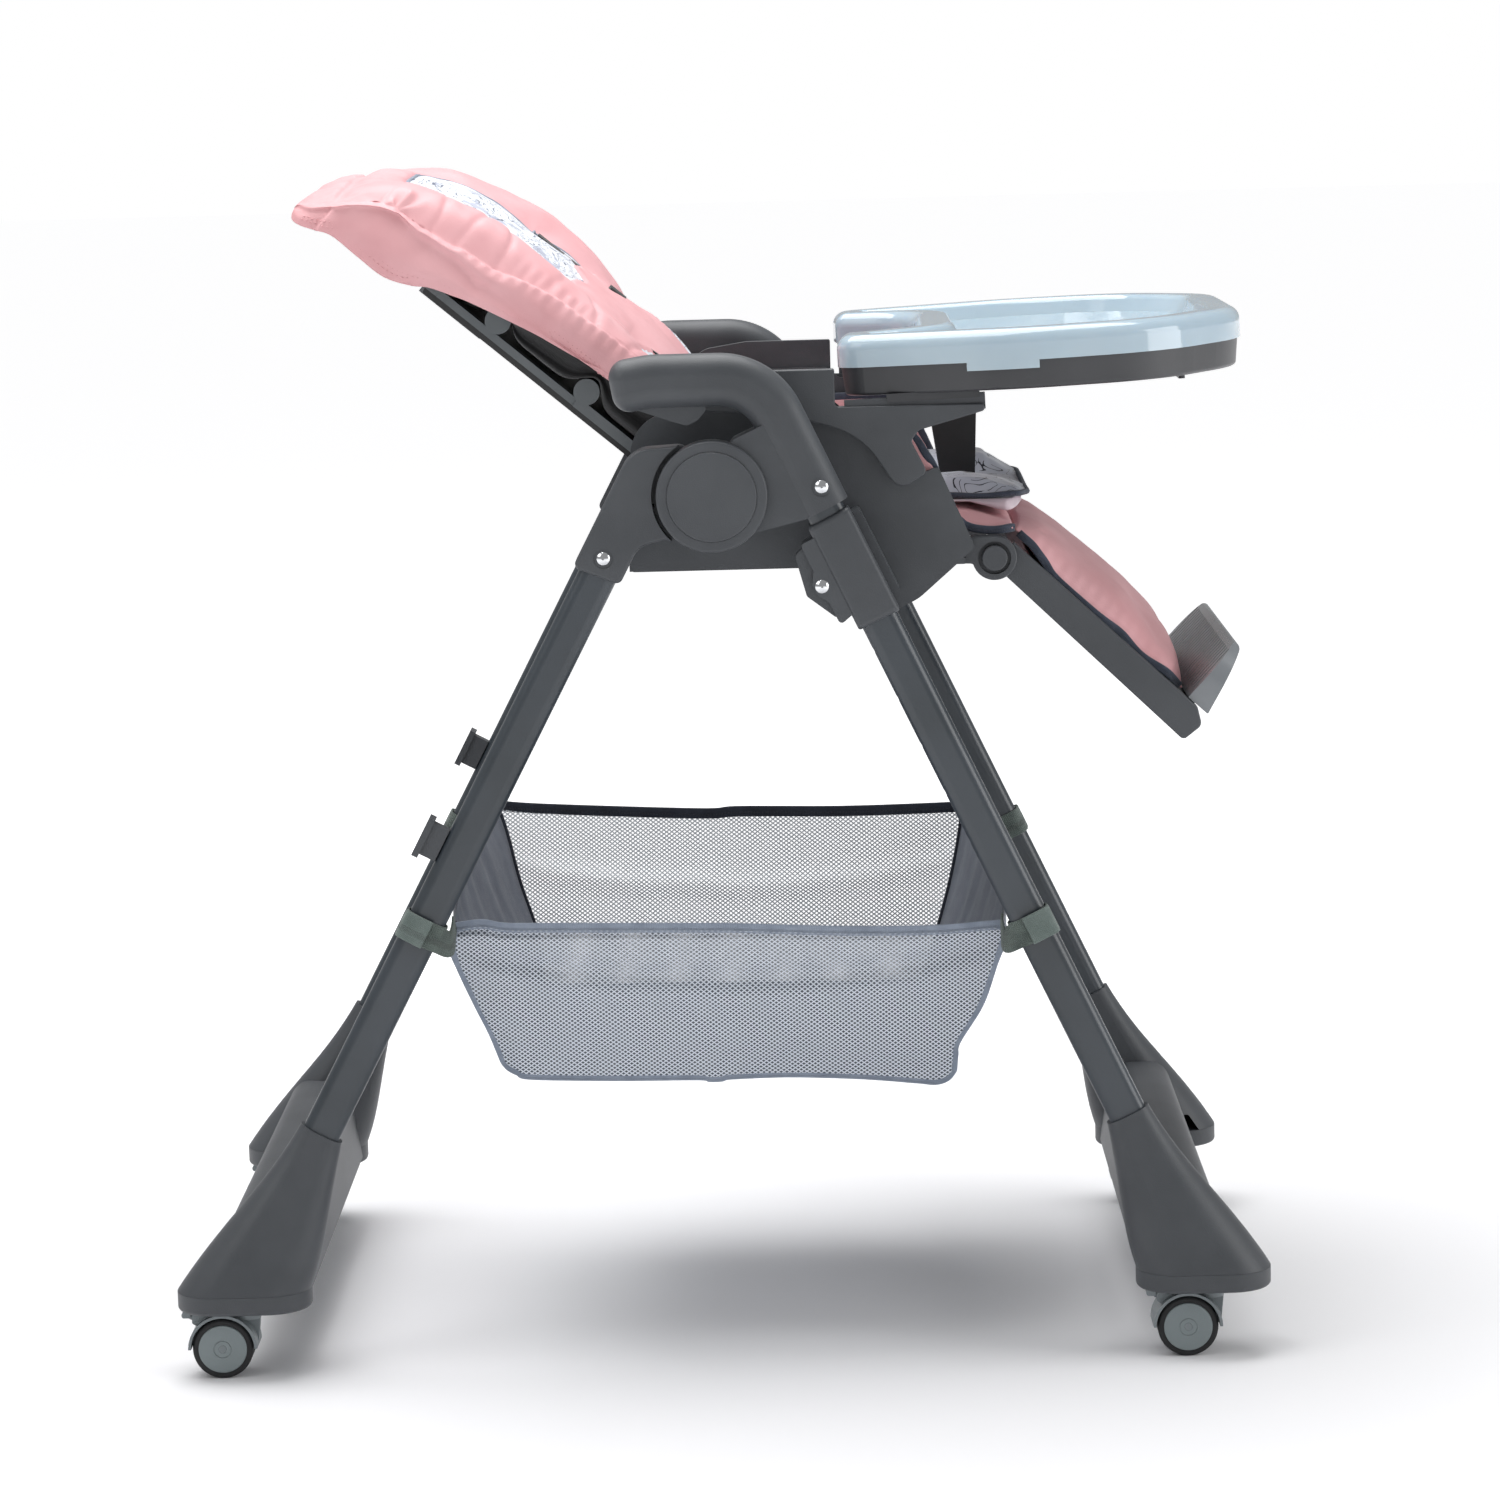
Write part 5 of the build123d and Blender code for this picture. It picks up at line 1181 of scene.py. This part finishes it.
webProfile = flatProfile(harness["webbing"], harness["thickness"])
for side, word in ((-1, "Right"), (1, "Left")):
    strap = overFront("shoulderStrap" + word, np.linspace(52, 196, 60), side * harness["place"], 2.0,
                      webProfile, webbing)
    if side == -1:
        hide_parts("shoulder_harness")
    # the strap passes through a stitched slot in the panel, bound like the panel
    turn = np.linspace(0, 2 * math.pi, 40, endpoint=False)
    ring = np.column_stack([harness["slotUp"] + 3.2 * np.sin(turn),
                            side * harness["place"] + 17 * np.cos(turn)])
    line = onBack(ring[:, 0], ring[:, 1], frontHeight(ring[:, 0], ring[:, 1]) + 0.6)
    slot = carried("strapSlot" + word, line, backOut, roundProfile(0.0011, 8), bluePiping, around=True)
    mounted(slot, "backrest")
    overFront("strapAdjuster" + word, np.linspace(110, 126, 8), side * harness["place"], 3.6,
              flatProfile(0.032, 0.006), buckleBlack)
    # lap strap, from the side of the seat to the buckle
    lap = smoothLine([(harness["lapX"] - 6, side * 152, 640), (harness["lapX"] - 3, side * 120, 643.6),
                      (harness["lapX"], side * 70, 643.8), (harness["lapX"], side * 18, 647)], 50) / 1000
    lapStrap = carried("lapStrap" + word, lap, (0, 0, 1), webProfile, webbing)
    mounted(lapStrap, "seat")
    if side == -1:
        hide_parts("lap_harness")
# adjusters that stand on the crest of the far bolster
for count, u in enumerate((234.0, 187.0)):
    overFront(f"slideAdjuster{count}", np.linspace(u - 8, u + 8, 10), 128, 1.8,
              flatProfile(0.026, 0.0045), buckleBlack)
# the buckle: a squat rounded housing with a push button, each a rounded square drawn in by a share
# at each height
turn = np.linspace(0, 2 * math.pi, 48, endpoint=False)
c, s = np.cos(turn), np.sin(turn)
outline = np.column_stack([np.sign(c) * np.abs(c) ** 0.5 * 23, np.sign(s) * np.abs(s) ** 0.5 * 24])
stack = {"harnessBuckle": (buckleBlack, ((0.9, 644.2), (1.0, 646), (1.0, 652), (0.93, 655), (0.8, 656.4),
                                         (0.55, 656.8))),
         "harnessButton": (polypropylene, ((0.42, 656.0), (0.44, 657.6), (0.42, 658.6), (0.3, 659.0)))}
for name, (material, levels) in stack.items():
    body = np.stack([np.column_stack([harness["lapX"] + outline[:, 0] * share, outline[:, 1] * share,
                                      np.full(48, z)]) for share, z in levels]) / 1000
    piece = gridMesh(name, body, material, around=True, capped=True, cloth=onSheet(body))
    mounted(piece, "seat")
print("harness made")
